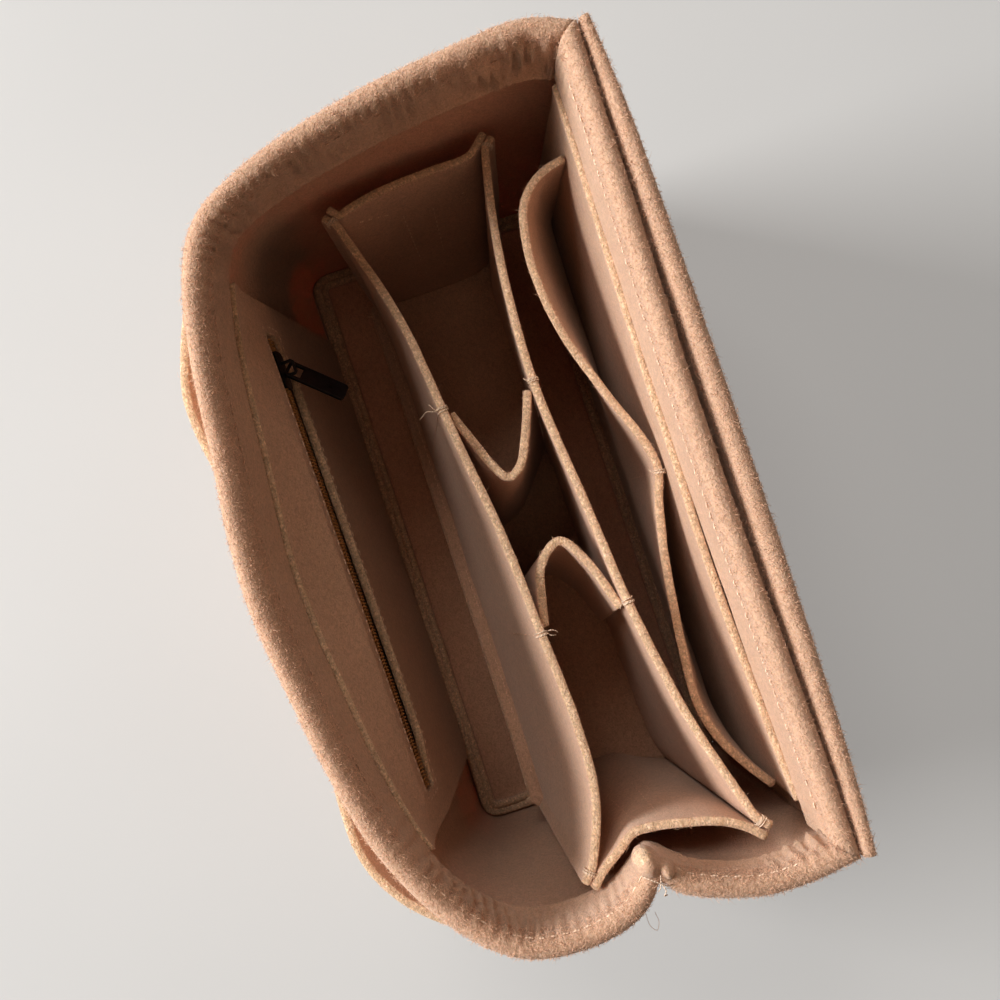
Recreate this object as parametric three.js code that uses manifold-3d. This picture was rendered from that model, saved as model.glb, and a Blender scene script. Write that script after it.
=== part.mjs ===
// Organiser insert of thick felt: an open tub that leans outwards, with pockets and a zip,
// and a felt basket that stands in it and lifts out. Lengths are millimetres. The origin is
// the middle of the underside of the floor, +Z is up, +X runs along the tub, -Y is its front.
import * as THREE from "three";
import Module from "manifold-3d";

const wasm = await Module();
wasm.setup();

// Driving sizes of the tub
const HEIGHT = 160;
const BASE_LENGTH = 264;
const BASE_WIDTH = 115.2;
const RIM_LENGTH = 280;
const RIM_WIDTH = 152;
const CORNER_RADIUS = 11;
const FELT = 3;
const FIT = 0.3;
const HEM_SLOT = 1;
const HEM_DEPTH = 25;
const SEAM_HEIGHT = 6.4;
const SEAM_GAP = 1;
const GROOVE = 0.8;
const BEND = 1.6;

// Driving sizes of the zip
const ZIP_SLOT_LENGTH = 170;
const ZIP_SLOT_WIDTH = 12;
const ZIP_TAPE_WIDTH = 10;
const ZIP_TAPE_THICK = 0.8;
const ZIP_SLIT = 1.1;
const COIL_THICK = 1.5;
const COIL_WIDTH = 2.4;
const SLIDER_LENGTH = 14;
const SLIDER_WIDTH = 8.4;
const PLATE_THICK = 1;
const WEB_THICK = 0.5;
const WIRE = 1;
const BAIL_SPAN = 5.8;
const BAIL_CLEAR = 3.6;
const TAB_LENGTH = 22;
const TAB_WIDTH = 7.4;
const TAB_THICK = 1.2;
const TAB_HOLE_LENGTH = 4.5;
const TAB_HOLE_WIDTH = 5.2;

// Driving sizes of the basket
const BASKET_HEIGHT = 102;
const BASKET_FLANGE = 8;
const CORNER_FLANGE = 5;

const HALF_LENGTH = BASE_LENGTH / 2;
const HALF_WIDTH = BASE_WIDTH / 2;
const HEM = 2 * FELT + HEM_SLOT;
const DEGREE = Math.PI / 180;

// Shares of the half rim length and half rim width, from the front +X corner round the back
const RIM_SHARES = [
  [0.96, -0.803], [0.999, -0.605], [0.987, -0.241], [0.954, 0.161], [0.884, 0.621],
  [0.798, 0.903], [0.701, 1.009], [0.533, 1.088], [0.29, 1.137], [0.006, 1.179],
  [-0.297, 1.124], [-0.603, 1.005], [-0.809, 0.809], [-0.921, 0.589], [-0.949, 0.355],
  [-0.933, 0.141], [-0.903, 0.039], [-0.864, -0.026], [-0.894, -0.071], [-0.921, -0.158],
  [-0.963, -0.383], [-0.969, -0.592], [-0.954, -0.809],
];
// Which of these points are the two back corners and the pleat
const RIM_MARKS = { plus: 5, minus: 12, pleat: 17 };
const PLEAT_SHARE = -0.035;
const FRONT_BOW_SHARE = 0.033;
const SLIP_BULGE_SHARE = 0.1;

// Shares of HEIGHT
const INNER_TOP_SHARE = 0.838;
const INNER_FOOT_SHARE = 0.044;
const PAIR_TOP_SHARE = 0.7375;
const PAIR_FOOT_SHARE = 0.3125;
const BACK_TOP_SHARE = 0.72;
const BACK_FOOT_SHARE = 0.28;
const ZIP_SHARE = 0.644;
const ZIP_PANEL_FOOT_SHARE = 0.056;
const ZIP_BAND_SHARE = 0.082;

// Shares of the base half length and half width
const INNER_BULGE_SHARES = [
  [0.955, 0.02], [0.77, 0.03], [0.45, 0.034], [0.2, 0.034], [-0.03, 0.038], [-0.27, 0.05],
  [-0.55, 0.046], [-0.8, 0.034], [-0.9, 0.02],
];
const PAIR_SHARES = [
  [0.806, 0], [0.79, 0.14], [0.735, 0.28], [0.645, 0.34], [0.54, 0.35], [0.4, 0.31],
  [0.21, 0.17], [0.05, 0.03], [-0.029, 0], [-0.1, 0.05], [-0.211, 0.11], [-0.36, 0.17],
  [-0.513, 0.22], [-0.645, 0.24], [-0.735, 0.19], [-0.815, 0.1], [-0.85, 0.05], [-0.882, 0],
];
// Share of the strip's run, bulge as a share of the half width
const BACK_LOBE_SHARES = [
  [0, 0], [0.05, 0.09], [0.1, 0.21], [0.15, 0.28], [0.2, 0.31], [0.27, 0.28], [0.35, 0.17],
  [0.43, 0.05], [0.5, 0], [0.56, 0.05], [0.63, 0.15], [0.7, 0.25], [0.765, 0.29], [0.82, 0.24],
  [0.87, 0.14], [0.93, 0.04], [1, 0],
];
// Counts of steps along the wrap, from which to which the strip is sewn, and of other rows
const COUNTS = { stripFrom: 14, stripTo: 49, front: 28, panel: 40, toothPairs: 56 };

// Shares for the basket's inner faces, low edge and top edge
const BASKET_BACK_LOW_SHARES = [
  [0.792, 0.408], [0.455, 0.408], [0.152, 0.408], [-0.152, 0.408], [-0.455, 0.408],
  [-0.72, 0.408], [-0.912, 0.408],
];
const BASKET_BACK_TOP_SHARES = [
  [0.766, 0.508], [0.708, 0.472], [0.446, 0.312], [0.164, 0.236], [-0.166, 0.142],
  [-0.435, 0.108], [-0.669, 0.083], [-0.84, 0.102], [-0.93, 0.161], [-1.022, 0.257],
];
const BASKET_FRONT_LOW_SHARES = [
  [-0.915, -0.469], [-0.848, -0.425], [-0.72, -0.408], [0, -0.408], [0.72, -0.408],
  [0.788, -0.434], [0.833, -0.469],
];
const BASKET_FRONT_TOP_SHARES = [
  [-1.036, -0.642], [-0.757, -0.474], [-0.447, -0.372], [-0.133, -0.321], [0.165, -0.274],
  [0.462, -0.314], [0.689, -0.391], [0.842, -0.472],
];
const BASKET_PLUS_LOW_SHARES = [
  [0.833, -0.469], [0.807, -0.347], [0.794, -0.026], [0.792, 0.26], [0.792, 0.408],
];
const BASKET_PLUS_TOP_SHARES = [
  [0.842, -0.472], [0.818, -0.382], [0.811, -0.122], [0.799, 0.208], [0.766, 0.508],
];
const BASKET_MINUS_LOW_SHARES = [
  [-0.912, 0.408], [-0.894, 0.243], [-0.852, 0.069], [-0.846, -0.035], [-0.852, -0.139],
  [-0.886, -0.295], [-0.915, -0.469],
];
const BASKET_MINUS_TOP_SHARES = [
  [-1.022, 0.257], [-0.992, 0.139], [-0.957, 0.017], [-0.955, -0.069], [-0.964, -0.208],
  [-0.996, -0.486], [-1.036, -0.642],
];
// Each divider point: share of the half length, share of the way from front to back
const DIVIDER_A_SHARES = [
  [0.168, 1], [0.08, 0.9], [0, 0.8], [-0.04, 0.68], [-0.02, 0.48], [0.04, 0.28], [0.163, 0],
];
const DIVIDER_B_SHARES = [
  [-0.43, 1], [-0.358, 0.9], [-0.28, 0.74], [-0.238, 0.4], [-0.3, 0.18], [-0.445, 0],
];
const PIVOT_SHARE = 0.848;
const BASKET_TILT_DEGREES = 8;
const BASKET_RISE_SHARE = 0.06;

const ZIP_LEAN_DEGREES = 8;
const ZIP_SKEW_DEGREES = 1.3;
const ZIP_CLEAR = 0.16;
const SLIDER_SHARE = 0.84;
const PULLER_SAG_DEGREES = 22;
const PULLER_OUT_DEGREES = 44;
const PULLER_ROLL_DEGREES = 30;

const lerp = (a, b, t) => a + (b - a) * t;

// A closed surface through rings of equal length, capped at both ends
function solid(rings) {
  const m = rings[0].length;
  const points = rings.flat();
  const faces = [];
  for (let i = 0; i + 1 < rings.length; i += 1) {
    for (let j = 0; j < m; j += 1) {
      const k = (j + 1) % m;
      const a = i * m;
      const b = a + m;
      faces.push([a + j, a + k, b + k], [a + j, b + k, b + j]);
    }
  }
  const cap = (ring, start, turned) => {
    const [p0] = ring;
    const normal = new THREE.Vector3();
    for (let j = 0; j < m; j += 1) {
      normal.add(new THREE.Vector3().crossVectors(ring[j], ring[(j + 1) % m]));
    }
    normal.normalize();
    const across = new THREE.Vector3(-normal.y, normal.x, 0);
    if (across.length() < Math.abs(normal.z)) {
      across.set(normal.z, 0, -normal.x);
    }
    across.normalize();
    const up = new THREE.Vector3().crossVectors(normal, across);
    const flat = ring.map((p) => {
      const d = p.clone().sub(p0);
      return new THREE.Vector2(d.dot(across), d.dot(up));
    });
    for (const [a, b, c] of THREE.ShapeUtils.triangulateShape(flat, [])) {
      faces.push(turned ? [start + c, start + b, start + a] : [start + a, start + b, start + c]);
    }
  };
  cap(rings[0], 0, true);
  cap(rings[rings.length - 1], (rings.length - 1) * m, false);
  return outward({ points, faces });
}

function outward({ points, faces }) {
  let volume = 0;
  const cross = new THREE.Vector3();
  for (const [a, b, c] of faces) {
    cross.crossVectors(points[b], points[c]);
    volume += points[a].dot(cross);
  }
  return { points, faces: volume < 0 ? faces.map(([a, b, c]) => [c, b, a]) : faces };
}

const moved = ({ points, faces }, matrix) =>
  outward({ points: points.map((p) => p.clone().applyMatrix4(matrix)), faces });

function toManifold({ points, faces }) {
  return new wasm.Manifold(
    new wasm.Mesh({
      numProp: 3,
      vertProperties: new Float32Array(points.flatMap((p) => p.toArray())),
      triVerts: new Uint32Array(faces.flat()),
    }),
  );
}

function fromManifold(body) {
  const mesh = body.getMesh();
  const points = [];
  for (let i = 0; i < mesh.numVert; i += 1) {
    points.push(new THREE.Vector3().fromArray(mesh.vertProperties, i * mesh.numProp));
  }
  const faces = [];
  for (let i = 0; i < mesh.triVerts.length; i += 3) {
    faces.push([mesh.triVerts[i], mesh.triVerts[i + 1], mesh.triVerts[i + 2]]);
  }
  return { points, faces };
}

const joined = (list) => fromManifold(wasm.Manifold.union(list.map(toManifold)));
const cut = (body, tool) => fromManifold(toManifold(body).subtract(toManifold(tool)));

const group = new THREE.Group();
function node(name, { points, faces }, colour, roughness, metalness = 0) {
  const geometry = new THREE.BufferGeometry();
  const values = points.flatMap((p) => p.toArray());
  geometry.setAttribute("position", new THREE.Float32BufferAttribute(values, 3));
  geometry.setIndex(faces.flat());
  const apart = geometry.toNonIndexed();
  apart.computeVertexNormals();
  const material = new THREE.MeshStandardMaterial({ color: colour, roughness, metalness });
  const mesh = new THREE.Mesh(apart, material);
  mesh.name = name;
  group.add(mesh);
}

// Smooth plan curve through points, cut into equal runs between the points from and to
function run(points, from, to, count) {
  const curve = new THREE.CatmullRomCurve3(
    points.map(([x, y]) => new THREE.Vector3(x, y, 0)),
    false,
    "centripetal",
  );
  const fine = 24 * (to - from);
  const walk = [];
  let length = 0;
  for (let i = 0; i <= fine; i += 1) {
    const p = curve.getPoint(lerp(from, to, i / fine) / (points.length - 1));
    if (i > 0) {
      length += p.distanceTo(walk[i - 1].p);
    }
    walk.push({ p, length });
  }
  const out = [];
  let at = 0;
  for (let k = 0; k <= count; k += 1) {
    const goal = (length * k) / count;
    while (at + 2 < walk.length && walk[at + 1].length < goal) {
      at += 1;
    }
    const [a, b] = [walk[at], walk[at + 1]];
    const t = Math.min(1, (goal - a.length) / (b.length - a.length));
    out.push([lerp(a.p.x, b.p.x, t), lerp(a.p.y, b.p.y, t)]);
  }
  return out;
}

const spread = (points, count) => run(points, 0, points.length - 1, count);
const placed = (shares, halfX, halfY) => shares.map(([x, y]) => [x * halfX, y * halfY]);

// Unit vectors to the left of a plan path
function lefts(path) {
  return path.map((p, i) => {
    const a = path[Math.max(0, i - 1)];
    const b = path[Math.min(path.length - 1, i + 1)];
    const long = Math.hypot(b[0] - a[0], b[1] - a[1]);
    return [-(b[1] - a[1]) / long, (b[0] - a[0]) / long];
  });
}

// A rail is a plan path with the direction in which its thickness grows
const railOf = (path, side = 1) => ({
  path,
  side: lefts(path).map(([x, y]) => [side * x, side * y]),
});

function mitre(rail, index, other, step) {
  const [nx, ny] = rail.side[index];
  const dot = 1 + nx * other[0] + ny * other[1];
  rail.side[index] = [(nx + other[0]) / dot, (ny + other[1]) / dot];
  const [px, py] = rail.path[index];
  rail.path[index] = [px + ny * step, py - nx * step];
}

function railPoint(low, high, i, offset, t) {
  const along = (axis) =>
    lerp(
      low.path[i][axis] + low.side[i][axis] * offset,
      high.path[i][axis] + high.side[i][axis] * offset,
      t,
    );
  return [along(0), along(1)];
}

// Ruled sheet between two rails; the section lists [offset, height]
function sheet(low, high, floor, top, section, span = [0, low.path.length - 1]) {
  const rings = [];
  for (let i = span[0]; i <= span[1]; i += 1) {
    rings.push(
      section(i).map(([offset, z]) => {
        const [x, y] = railPoint(low, high, i, offset, (z - floor) / (top - floor));
        return new THREE.Vector3(x, y, z);
      }),
    );
  }
  return solid(rings);
}

// The tub's walls
const line = (a, b, count) =>
  Array.from({ length: count }, (_, i) => [lerp(a[0], b[0], i / count), lerp(a[1], b[1], i / count)]);
function arc(cx, cy, from, to, count) {
  return Array.from({ length: count }, (_, i) => {
    const angle = lerp(from, to, i / count) * DEGREE;
    return [cx + CORNER_RADIUS * Math.cos(angle), cy + CORNER_RADIUS * Math.sin(angle)];
  });
}
const cx = HALF_LENGTH - CORNER_RADIUS;
const cy = HALF_WIDTH - CORNER_RADIUS;
const pleatY = PLEAT_SHARE * HALF_WIDTH;
const wrapLow = railOf([
  ...line([HALF_LENGTH, -HALF_WIDTH], [HALF_LENGTH, cy], 14),
  ...arc(cx, cy, 0, 90, 4),
  ...line([cx, HALF_WIDTH], [-cx, HALF_WIDTH], 24),
  ...arc(-cx, cy, 90, 180, 4),
  ...line([-HALF_LENGTH, cy], [-HALF_LENGTH, pleatY], 11),
  ...line([-HALF_LENGTH, pleatY], [-HALF_LENGTH, -HALF_WIDTH], 11),
  [-HALF_LENGTH, -HALF_WIDTH],
]);
const rimPoints = placed(RIM_SHARES, RIM_LENGTH / 2, RIM_WIDTH / 2);
const wrapHigh = railOf([
  ...run(rimPoints, 0, RIM_MARKS.plus, 16).slice(0, -1),
  ...run(rimPoints, RIM_MARKS.plus, RIM_MARKS.minus, 28).slice(0, -1),
  ...run(rimPoints, RIM_MARKS.minus, RIM_MARKS.pleat, 13).slice(0, -1),
  ...run(rimPoints, RIM_MARKS.pleat, rimPoints.length - 1, 11),
]);
const rimStart = rimPoints[0];
const rimEnd = rimPoints[rimPoints.length - 1];
const frontLow = railOf([
  ...line([-HALF_LENGTH, -HALF_WIDTH], [HALF_LENGTH, -HALF_WIDTH], COUNTS.front),
  [HALF_LENGTH, -HALF_WIDTH],
]);
const bow = FRONT_BOW_SHARE * HALF_WIDTH;
const frontHigh = railOf(
  Array.from({ length: COUNTS.front + 1 }, (_, i) => {
    const t = i / COUNTS.front;
    const lift = bow * Math.sin(Math.PI * t) ** 2;
    return [lerp(rimEnd[0], rimStart[0], t), lerp(rimEnd[1], rimStart[1], t) + lift];
  }),
);
const last = wrapLow.path.length - 1;
for (const [wrap, front] of [[wrapLow, frontLow], [wrapHigh, frontHigh]]) {
  const [startSide, endSide] = [wrap.side[0], wrap.side[last]];
  const [leftSide, rightSide] = [front.side[0], front.side[COUNTS.front]];
  mitre(wrap, 0, rightSide, 3 * FIT);
  mitre(wrap, last, leftSide, -3 * FIT);
  mitre(front, 0, endSide, 3 * FIT);
  mitre(front, COUNTS.front, startSide, -3 * FIT);
}

// Inverted U: the wall runs up, folds over and comes down inside as the hem
function hemSection(share = 1) {
  const inner = (offset) => FELT + (offset - FELT) * share;
  const slotTop = HEIGHT - FELT;
  return [
    [0, 0],
    [0, HEIGHT - BEND],
    [BEND * share, HEIGHT],
    [inner(HEM) - BEND * share, HEIGHT],
    [inner(HEM), HEIGHT - BEND],
    [inner(HEM), HEIGHT - HEM_DEPTH],
    [inner(FELT + HEM_SLOT), HEIGHT - HEM_DEPTH],
    [inner(FELT + HEM_SLOT), slotTop],
    [FELT, slotTop],
    [FELT, 0],
  ];
}
const felt = (name, body, colour = 0xb98d74) => node(name, body, colour, 0.97);
felt("wrap_panel", sheet(wrapLow, wrapHigh, 0, HEIGHT, () => hemSection()));
felt("front_panel", sheet(frontLow, frontHigh, 0, HEIGHT, () => hemSection()));

// Floor with the turned-up seam ridge and its groove
function plan(inset) {
  const r = Math.max(CORNER_RADIUS - inset, FIT);
  const [hx, hy] = [HALF_LENGTH - inset - r, HALF_WIDTH - inset - r];
  const out = [];
  for (const [sx, sy, from] of [[1, 1, 0], [-1, 1, 90], [-1, -1, 180], [1, -1, 270]]) {
    for (let k = 0; k <= 5; k += 1) {
      const angle = (from + 18 * k) * DEGREE;
      out.push([sx * hx + r * Math.cos(angle), sy * hy + r * Math.sin(angle)]);
    }
  }
  return out;
}
const lip = FELT + SEAM_GAP;
const floorRings = [
  [lip, 0],
  [lip, SEAM_HEIGHT],
  [lip + FELT - GROOVE / 2, SEAM_HEIGHT],
  [lip + FELT, SEAM_HEIGHT - GROOVE],
  [lip + FELT + GROOVE / 2, SEAM_HEIGHT],
  [lip + 2 * FELT, SEAM_HEIGHT],
  [lip + 2 * FELT, FELT],
].map(([inset, z]) => plan(inset).map(([x, y]) => new THREE.Vector3(x, y, z)));
felt("floor_panel", solid(floorRings), 0xa57a62);

// y of a wall's face at a place along it
function faceY(low, high, offset, z, x, back) {
  let best = null;
  let before = null;
  for (let i = 0; i < low.path.length; i += 1) {
    const p = railPoint(low, high, i, offset, z / HEIGHT);
    if (before && (before[0] - x) * (p[0] - x) <= 0 && before[0] !== p[0]) {
      const y = lerp(before[1], p[1], (x - before[0]) / (p[0] - before[0]));
      if (best === null || (back ? y > best : y < best)) {
        best = y;
      }
    }
    before = p;
  }
  return best;
}
const backY = (x, z, offset) => faceY(wrapLow, wrapHigh, offset, z, x, true);
const frontY = (x, z, offset) => faceY(frontLow, frontHigh, offset, z, x, false);
const flat = (foot, top) => () => [[0, foot], [0, top], [FELT, top], [FELT, foot]];

// Outer slip pocket, sewn at its ends and foot
const slipLow = railOf(frontLow.path.map(([x]) => [x, -HALF_WIDTH - FELT - FIT]));
const slipGap = frontHigh.path.map((p, i) => {
  const s = Math.sin((Math.PI * i) / COUNTS.front) ** 0.75;
  return FELT + 3 * FIT + SLIP_BULGE_SHARE * HALF_WIDTH * s;
});
const slipHigh = railOf(frontHigh.path.map(([x, y], i) => [x, y - slipGap[i]]));
const SLIP_HEM_SHARE = 0.75;
const slipHem = (i) =>
  hemSection(Math.min(1, (SLIP_HEM_SHARE * (slipGap[i] - FIT - FELT)) / (HEM - FELT)));
felt("front_slip_pocket", sheet(slipLow, slipHigh, 0, HEIGHT, slipHem));

// Inner pocket layers on the front wall
const innerFoot = INNER_FOOT_SHARE * HEIGHT;
const innerTop = INNER_TOP_SHARE * HEIGHT;
const innerTopPath = spread(placed(INNER_BULGE_SHARES, HALF_LENGTH, HALF_WIDTH), 30).map(
  ([x, bulge]) => [x, frontY(x, innerTop, FELT) + FIT + bulge],
);
const innerLowPath = innerTopPath.map(([x]) => [x, frontY(x, innerFoot, FELT) + FIT]);
const innerLow = railOf(innerLowPath, -1);
const innerHigh = railOf(innerTopPath, -1);
felt(
  "front_inner_pocket",
  sheet(innerLow, innerHigh, innerFoot, innerTop, flat(innerFoot, innerTop)),
  0xb08468,
);
function innerFace(x, z) {
  const t = (z - innerFoot) / (innerTop - innerFoot);
  for (let i = 0; i + 1 < innerLowPath.length; i += 1) {
    const [p, q] = [0, 1].map((k) => railPoint(innerLow, innerHigh, i + k, FELT, t));
    if ((p[0] - x) * (q[0] - x) <= 0) {
      return lerp(p[1], q[1], (x - p[0]) / (q[0] - p[0]));
    }
  }
  return railPoint(innerLow, innerHigh, 0, FELT, t)[1];
}
const pairFoot = PAIR_FOOT_SHARE * HEIGHT;
const pairTop = PAIR_TOP_SHARE * HEIGHT;
const pairTopPath = spread(placed(PAIR_SHARES, HALF_LENGTH, HALF_WIDTH), 52).map(([x, bulge]) => [
  x,
  innerFace(x, pairTop) + 2 * FIT + bulge,
]);
const pairLowPath = pairTopPath.map(([x]) => [x, innerFace(x, pairFoot) + 2 * FIT]);
felt(
  "front_pocket_pair",
  sheet(railOf(pairLowPath, -1), railOf(pairTopPath, -1), pairFoot, pairTop, flat(pairFoot, pairTop)),
  0xb98d74,
);

// Outer pockets on the back wall
const outFoot = BACK_FOOT_SHARE * HEIGHT;
const outTop = BACK_TOP_SHARE * HEIGHT;
const lobes = spread(BACK_LOBE_SHARES, COUNTS.stripTo - COUNTS.stripFrom);
const outRail = (z, bulges) =>
  railOf(
    lobes.map((_, k) =>
      railPoint(wrapLow, wrapHigh, COUNTS.stripFrom + k, -3 * FIT - bulges[k] * HALF_WIDTH, z / HEIGHT),
    ),
    -1,
  );
const outLow = outRail(outFoot, lobes.map(() => 0));
const outHigh = outRail(outTop, lobes.map(([, bulge]) => Math.max(bulge, 0)));
felt("back_outer_pocket", sheet(outLow, outHigh, outFoot, outTop, flat(outFoot, outTop)));

// The zip's own frame: x along it, y into the wall, z up the leaning panel
const zipZ = ZIP_SHARE * HEIGHT;
const skew = ZIP_SKEW_DEGREES * DEGREE;
const lean = ZIP_LEAN_DEGREES * DEGREE;
const slotX = ZIP_SLOT_LENGTH / 2;
const slotZ = ZIP_SLOT_WIDTH / 2;
const tapeY = FELT + FIT;
const coilY = tapeY - FIT - COIL_THICK;
const tapeX = slotX + FELT / 2;
const rearY = tapeY + ZIP_TAPE_THICK + FIT;
const wallRoom = [-1, -0.5, 0, 0.5, 1].flatMap((along) =>
  [-1, 1].map((up) => {
    const [x, rise] = [along * tapeX, up * ZIP_TAPE_WIDTH];
    return backY(x, zipZ + rise, FELT) - x * Math.tan(skew) - rise * Math.tan(lean);
  }),
);
const zipY = Math.min(...wallRoom) - (rearY + PLATE_THICK + ZIP_CLEAR) / Math.cos(lean);
const zipFrame = new THREE.Matrix4()
  .makeTranslation(0, zipY, zipZ)
  .multiply(new THREE.Matrix4().makeRotationZ(skew))
  .multiply(new THREE.Matrix4().makeRotationX(-lean));
const bandHalf = ZIP_BAND_SHARE * HEIGHT;
const panelFoot = ZIP_PANEL_FOOT_SHARE * HEIGHT;
const panelTop = HEIGHT - HEM_DEPTH - FELT;
const panelHalf = ZIP_SLOT_LENGTH / 2 + 4 * FELT;
const planeY = (x, z) => zipY + x * Math.tan(skew) + (z - zipZ) * Math.tan(lean);
const panelRings = Array.from({ length: COUNTS.panel + 1 }, (_, i) => {
  const x = lerp(panelHalf, -panelHalf, i / COUNTS.panel);
  const rows = [panelFoot, zipZ - bandHalf, zipZ + bandHalf, panelTop].map((z, k) => {
    const sewn = backY(x, z, FELT) - 2 * FIT - FELT;
    return [k === 1 || k === 2 ? Math.min(planeY(x, z), sewn) : sewn, z];
  });
  const front = rows.map(([y, z]) => new THREE.Vector3(x, y, z));
  const rear = rows.map(([y, z]) => new THREE.Vector3(x, y + FELT, z));
  return [...front, ...rear.reverse()];
});

// An outline in two axes of a frame, drawn out along the third
function prism(outline, from, to, order, frame) {
  const ring = (depth) =>
    outline.map(([a, b]) => {
      const p = new THREE.Vector3();
      p[order[0]] = a;
      p[order[1]] = b;
      p[order[2]] = depth;
      return p;
    });
  return moved(solid([ring(from), ring(to)]), frame);
}
function rounded(x0, z0, x1, z1, radius, steps = 4) {
  const out = [];
  for (const [x, z, from] of [
    [x1 - radius, z1 - radius, 0],
    [x0 + radius, z1 - radius, 90],
    [x0 + radius, z0 + radius, 180],
    [x1 - radius, z0 + radius, 270],
  ]) {
    for (let k = 0; k <= steps; k += 1) {
      const angle = (from + (90 * k) / steps) * DEGREE;
      out.push([x + radius * Math.cos(angle), z + radius * Math.sin(angle)]);
    }
  }
  return out;
}
const slotTool = prism(
  rounded(-slotX, -slotZ, slotX, slotZ, slotZ / 2),
  -FELT,
  3 * FELT,
  ["x", "z", "y"],
  zipFrame,
);
felt("zip_pocket_panel", cut(solid(panelRings), slotTool));

const slit = ZIP_SLIT / 2;
const pitch = (2 * (slotX - FIT)) / (2 * COUNTS.toothPairs);
for (const [name, side] of [["upper", 1], ["lower", -1]]) {
  const tape = prism(
    [[-tapeX, side * slit], [tapeX, side * slit], [tapeX, side * ZIP_TAPE_WIDTH], [-tapeX, side * ZIP_TAPE_WIDTH]],
    tapeY,
    tapeY + ZIP_TAPE_THICK,
    ["x", "z", "y"],
    zipFrame,
  );
  node("zip_tape_" + name, tape, 0x5a3d26, 0.9);
  const comb = [];
  for (let k = 0; k < 2 * COUNTS.toothPairs; k += 1) {
    const reach = (k % 2 ? slit : slit + COIL_WIDTH / 2) * side;
    const x = -slotX + FIT + pitch * k;
    comb.push([x, reach], [x + pitch, reach]);
  }
  comb.push([slotX - FIT, side * (slit + COIL_WIDTH)], [-slotX + FIT, side * (slit + COIL_WIDTH)]);
  node("zip_coil_" + name, prism(comb, coilY, coilY + COIL_THICK, ["x", "z", "y"], zipFrame), 0x3a2415, 0.6);
}

// Slider: two plates, the bridge that parts the coil and the bail
const sliderX = SLIDER_SHARE * slotX;
const half = SLIDER_LENGTH / 2;
const plateY = coilY - FIT - PLATE_THICK;
const plate = rounded(sliderX - half, -SLIDER_WIDTH / 2, sliderX + half, SLIDER_WIDTH / 2, SLIDER_WIDTH / 4);
const bridgeX = sliderX + half - WIRE;
const span = BAIL_SPAN / 2;
const bailTop = plateY - BAIL_CLEAR;
const bail = [
  [sliderX - span, plateY + FIT],
  [sliderX - span, bailTop],
  [sliderX - span + WIRE, bailTop - WIRE],
  [sliderX + span - WIRE, bailTop - WIRE],
  [sliderX + span, bailTop],
  [sliderX + span, plateY + FIT],
  [sliderX + span - WIRE, plateY + FIT],
  [sliderX + span - WIRE, bailTop],
  [sliderX - span + WIRE, bailTop],
  [sliderX - span + WIRE, plateY + FIT],
];
const bridge = [
  [bridgeX - 4 * WIRE, -WEB_THICK / 2],
  [bridgeX, -WEB_THICK / 2],
  [bridgeX, WEB_THICK / 2],
  [bridgeX - 4 * WIRE, WEB_THICK / 2],
];
node(
  "zip_slider",
  joined([
    prism(plate, plateY, plateY + PLATE_THICK, ["x", "z", "y"], zipFrame),
    prism(plate, rearY, rearY + PLATE_THICK, ["x", "z", "y"], zipFrame),
    prism(bridge, plateY + FIT, rearY + FIT, ["x", "z", "y"], zipFrame),
    prism(bail, -WIRE / 2, WIRE / 2, ["x", "y", "z"], zipFrame),
  ]),
  0x18181a,
  0.35,
  0.8,
);

// Pull tab on the bail: it hinges about its cross bar, which hangs askew and twisted
const bar = (TAB_WIDTH - TAB_HOLE_WIDTH) / 2;
const hingeY = plateY - BAIL_CLEAR / 2;
const sag = PULLER_SAG_DEGREES * DEGREE;
const out = PULLER_OUT_DEGREES * DEGREE;
const down = new THREE.Vector3(
  -Math.cos(sag) * Math.cos(out),
  -Math.sin(out),
  -Math.sin(sag) * Math.cos(out),
);
const across = new THREE.Vector3(-Math.sin(sag), 0, Math.cos(sag));
across.applyAxisAngle(down, PULLER_ROLL_DEGREES * DEGREE);
const tabFrame = new THREE.Matrix4()
  .makeBasis(down, across, new THREE.Vector3().crossVectors(down, across))
  .setPosition(sliderX, hingeY, 0)
  .premultiply(zipFrame);
const tab = prism(
  rounded(-bar / 2, -TAB_WIDTH / 2, TAB_LENGTH, TAB_WIDTH / 2, TAB_WIDTH / 5),
  -TAB_THICK / 2,
  TAB_THICK / 2,
  ["x", "y", "z"],
  tabFrame,
);
const hole = prism(
  rounded(bar / 2, -TAB_HOLE_WIDTH / 2, bar / 2 + TAB_HOLE_LENGTH, TAB_HOLE_WIDTH / 2, WIRE / 2),
  -TAB_THICK,
  TAB_THICK,
  ["x", "y", "z"],
  tabFrame,
);
node("zip_puller", cut(tab, hole), 0x141416, 0.4, 0.7);

// The basket, built level and then tipped: its -X end sits high in the tub
const pivotX = PIVOT_SHARE * HALF_LENGTH;
const tilt = BASKET_TILT_DEGREES * DEGREE;
const basketFrame = new THREE.Matrix4()
  .makeTranslation(pivotX, 0, FELT + FIT + BASKET_RISE_SHARE * CORNER_RADIUS)
  .multiply(new THREE.Matrix4().makeRotationY(tilt))
  .multiply(new THREE.Matrix4().makeTranslation(-pivotX, 0, 0));
const onHalf = (shares) => placed(shares, HALF_LENGTH, HALF_WIDTH);

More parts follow.
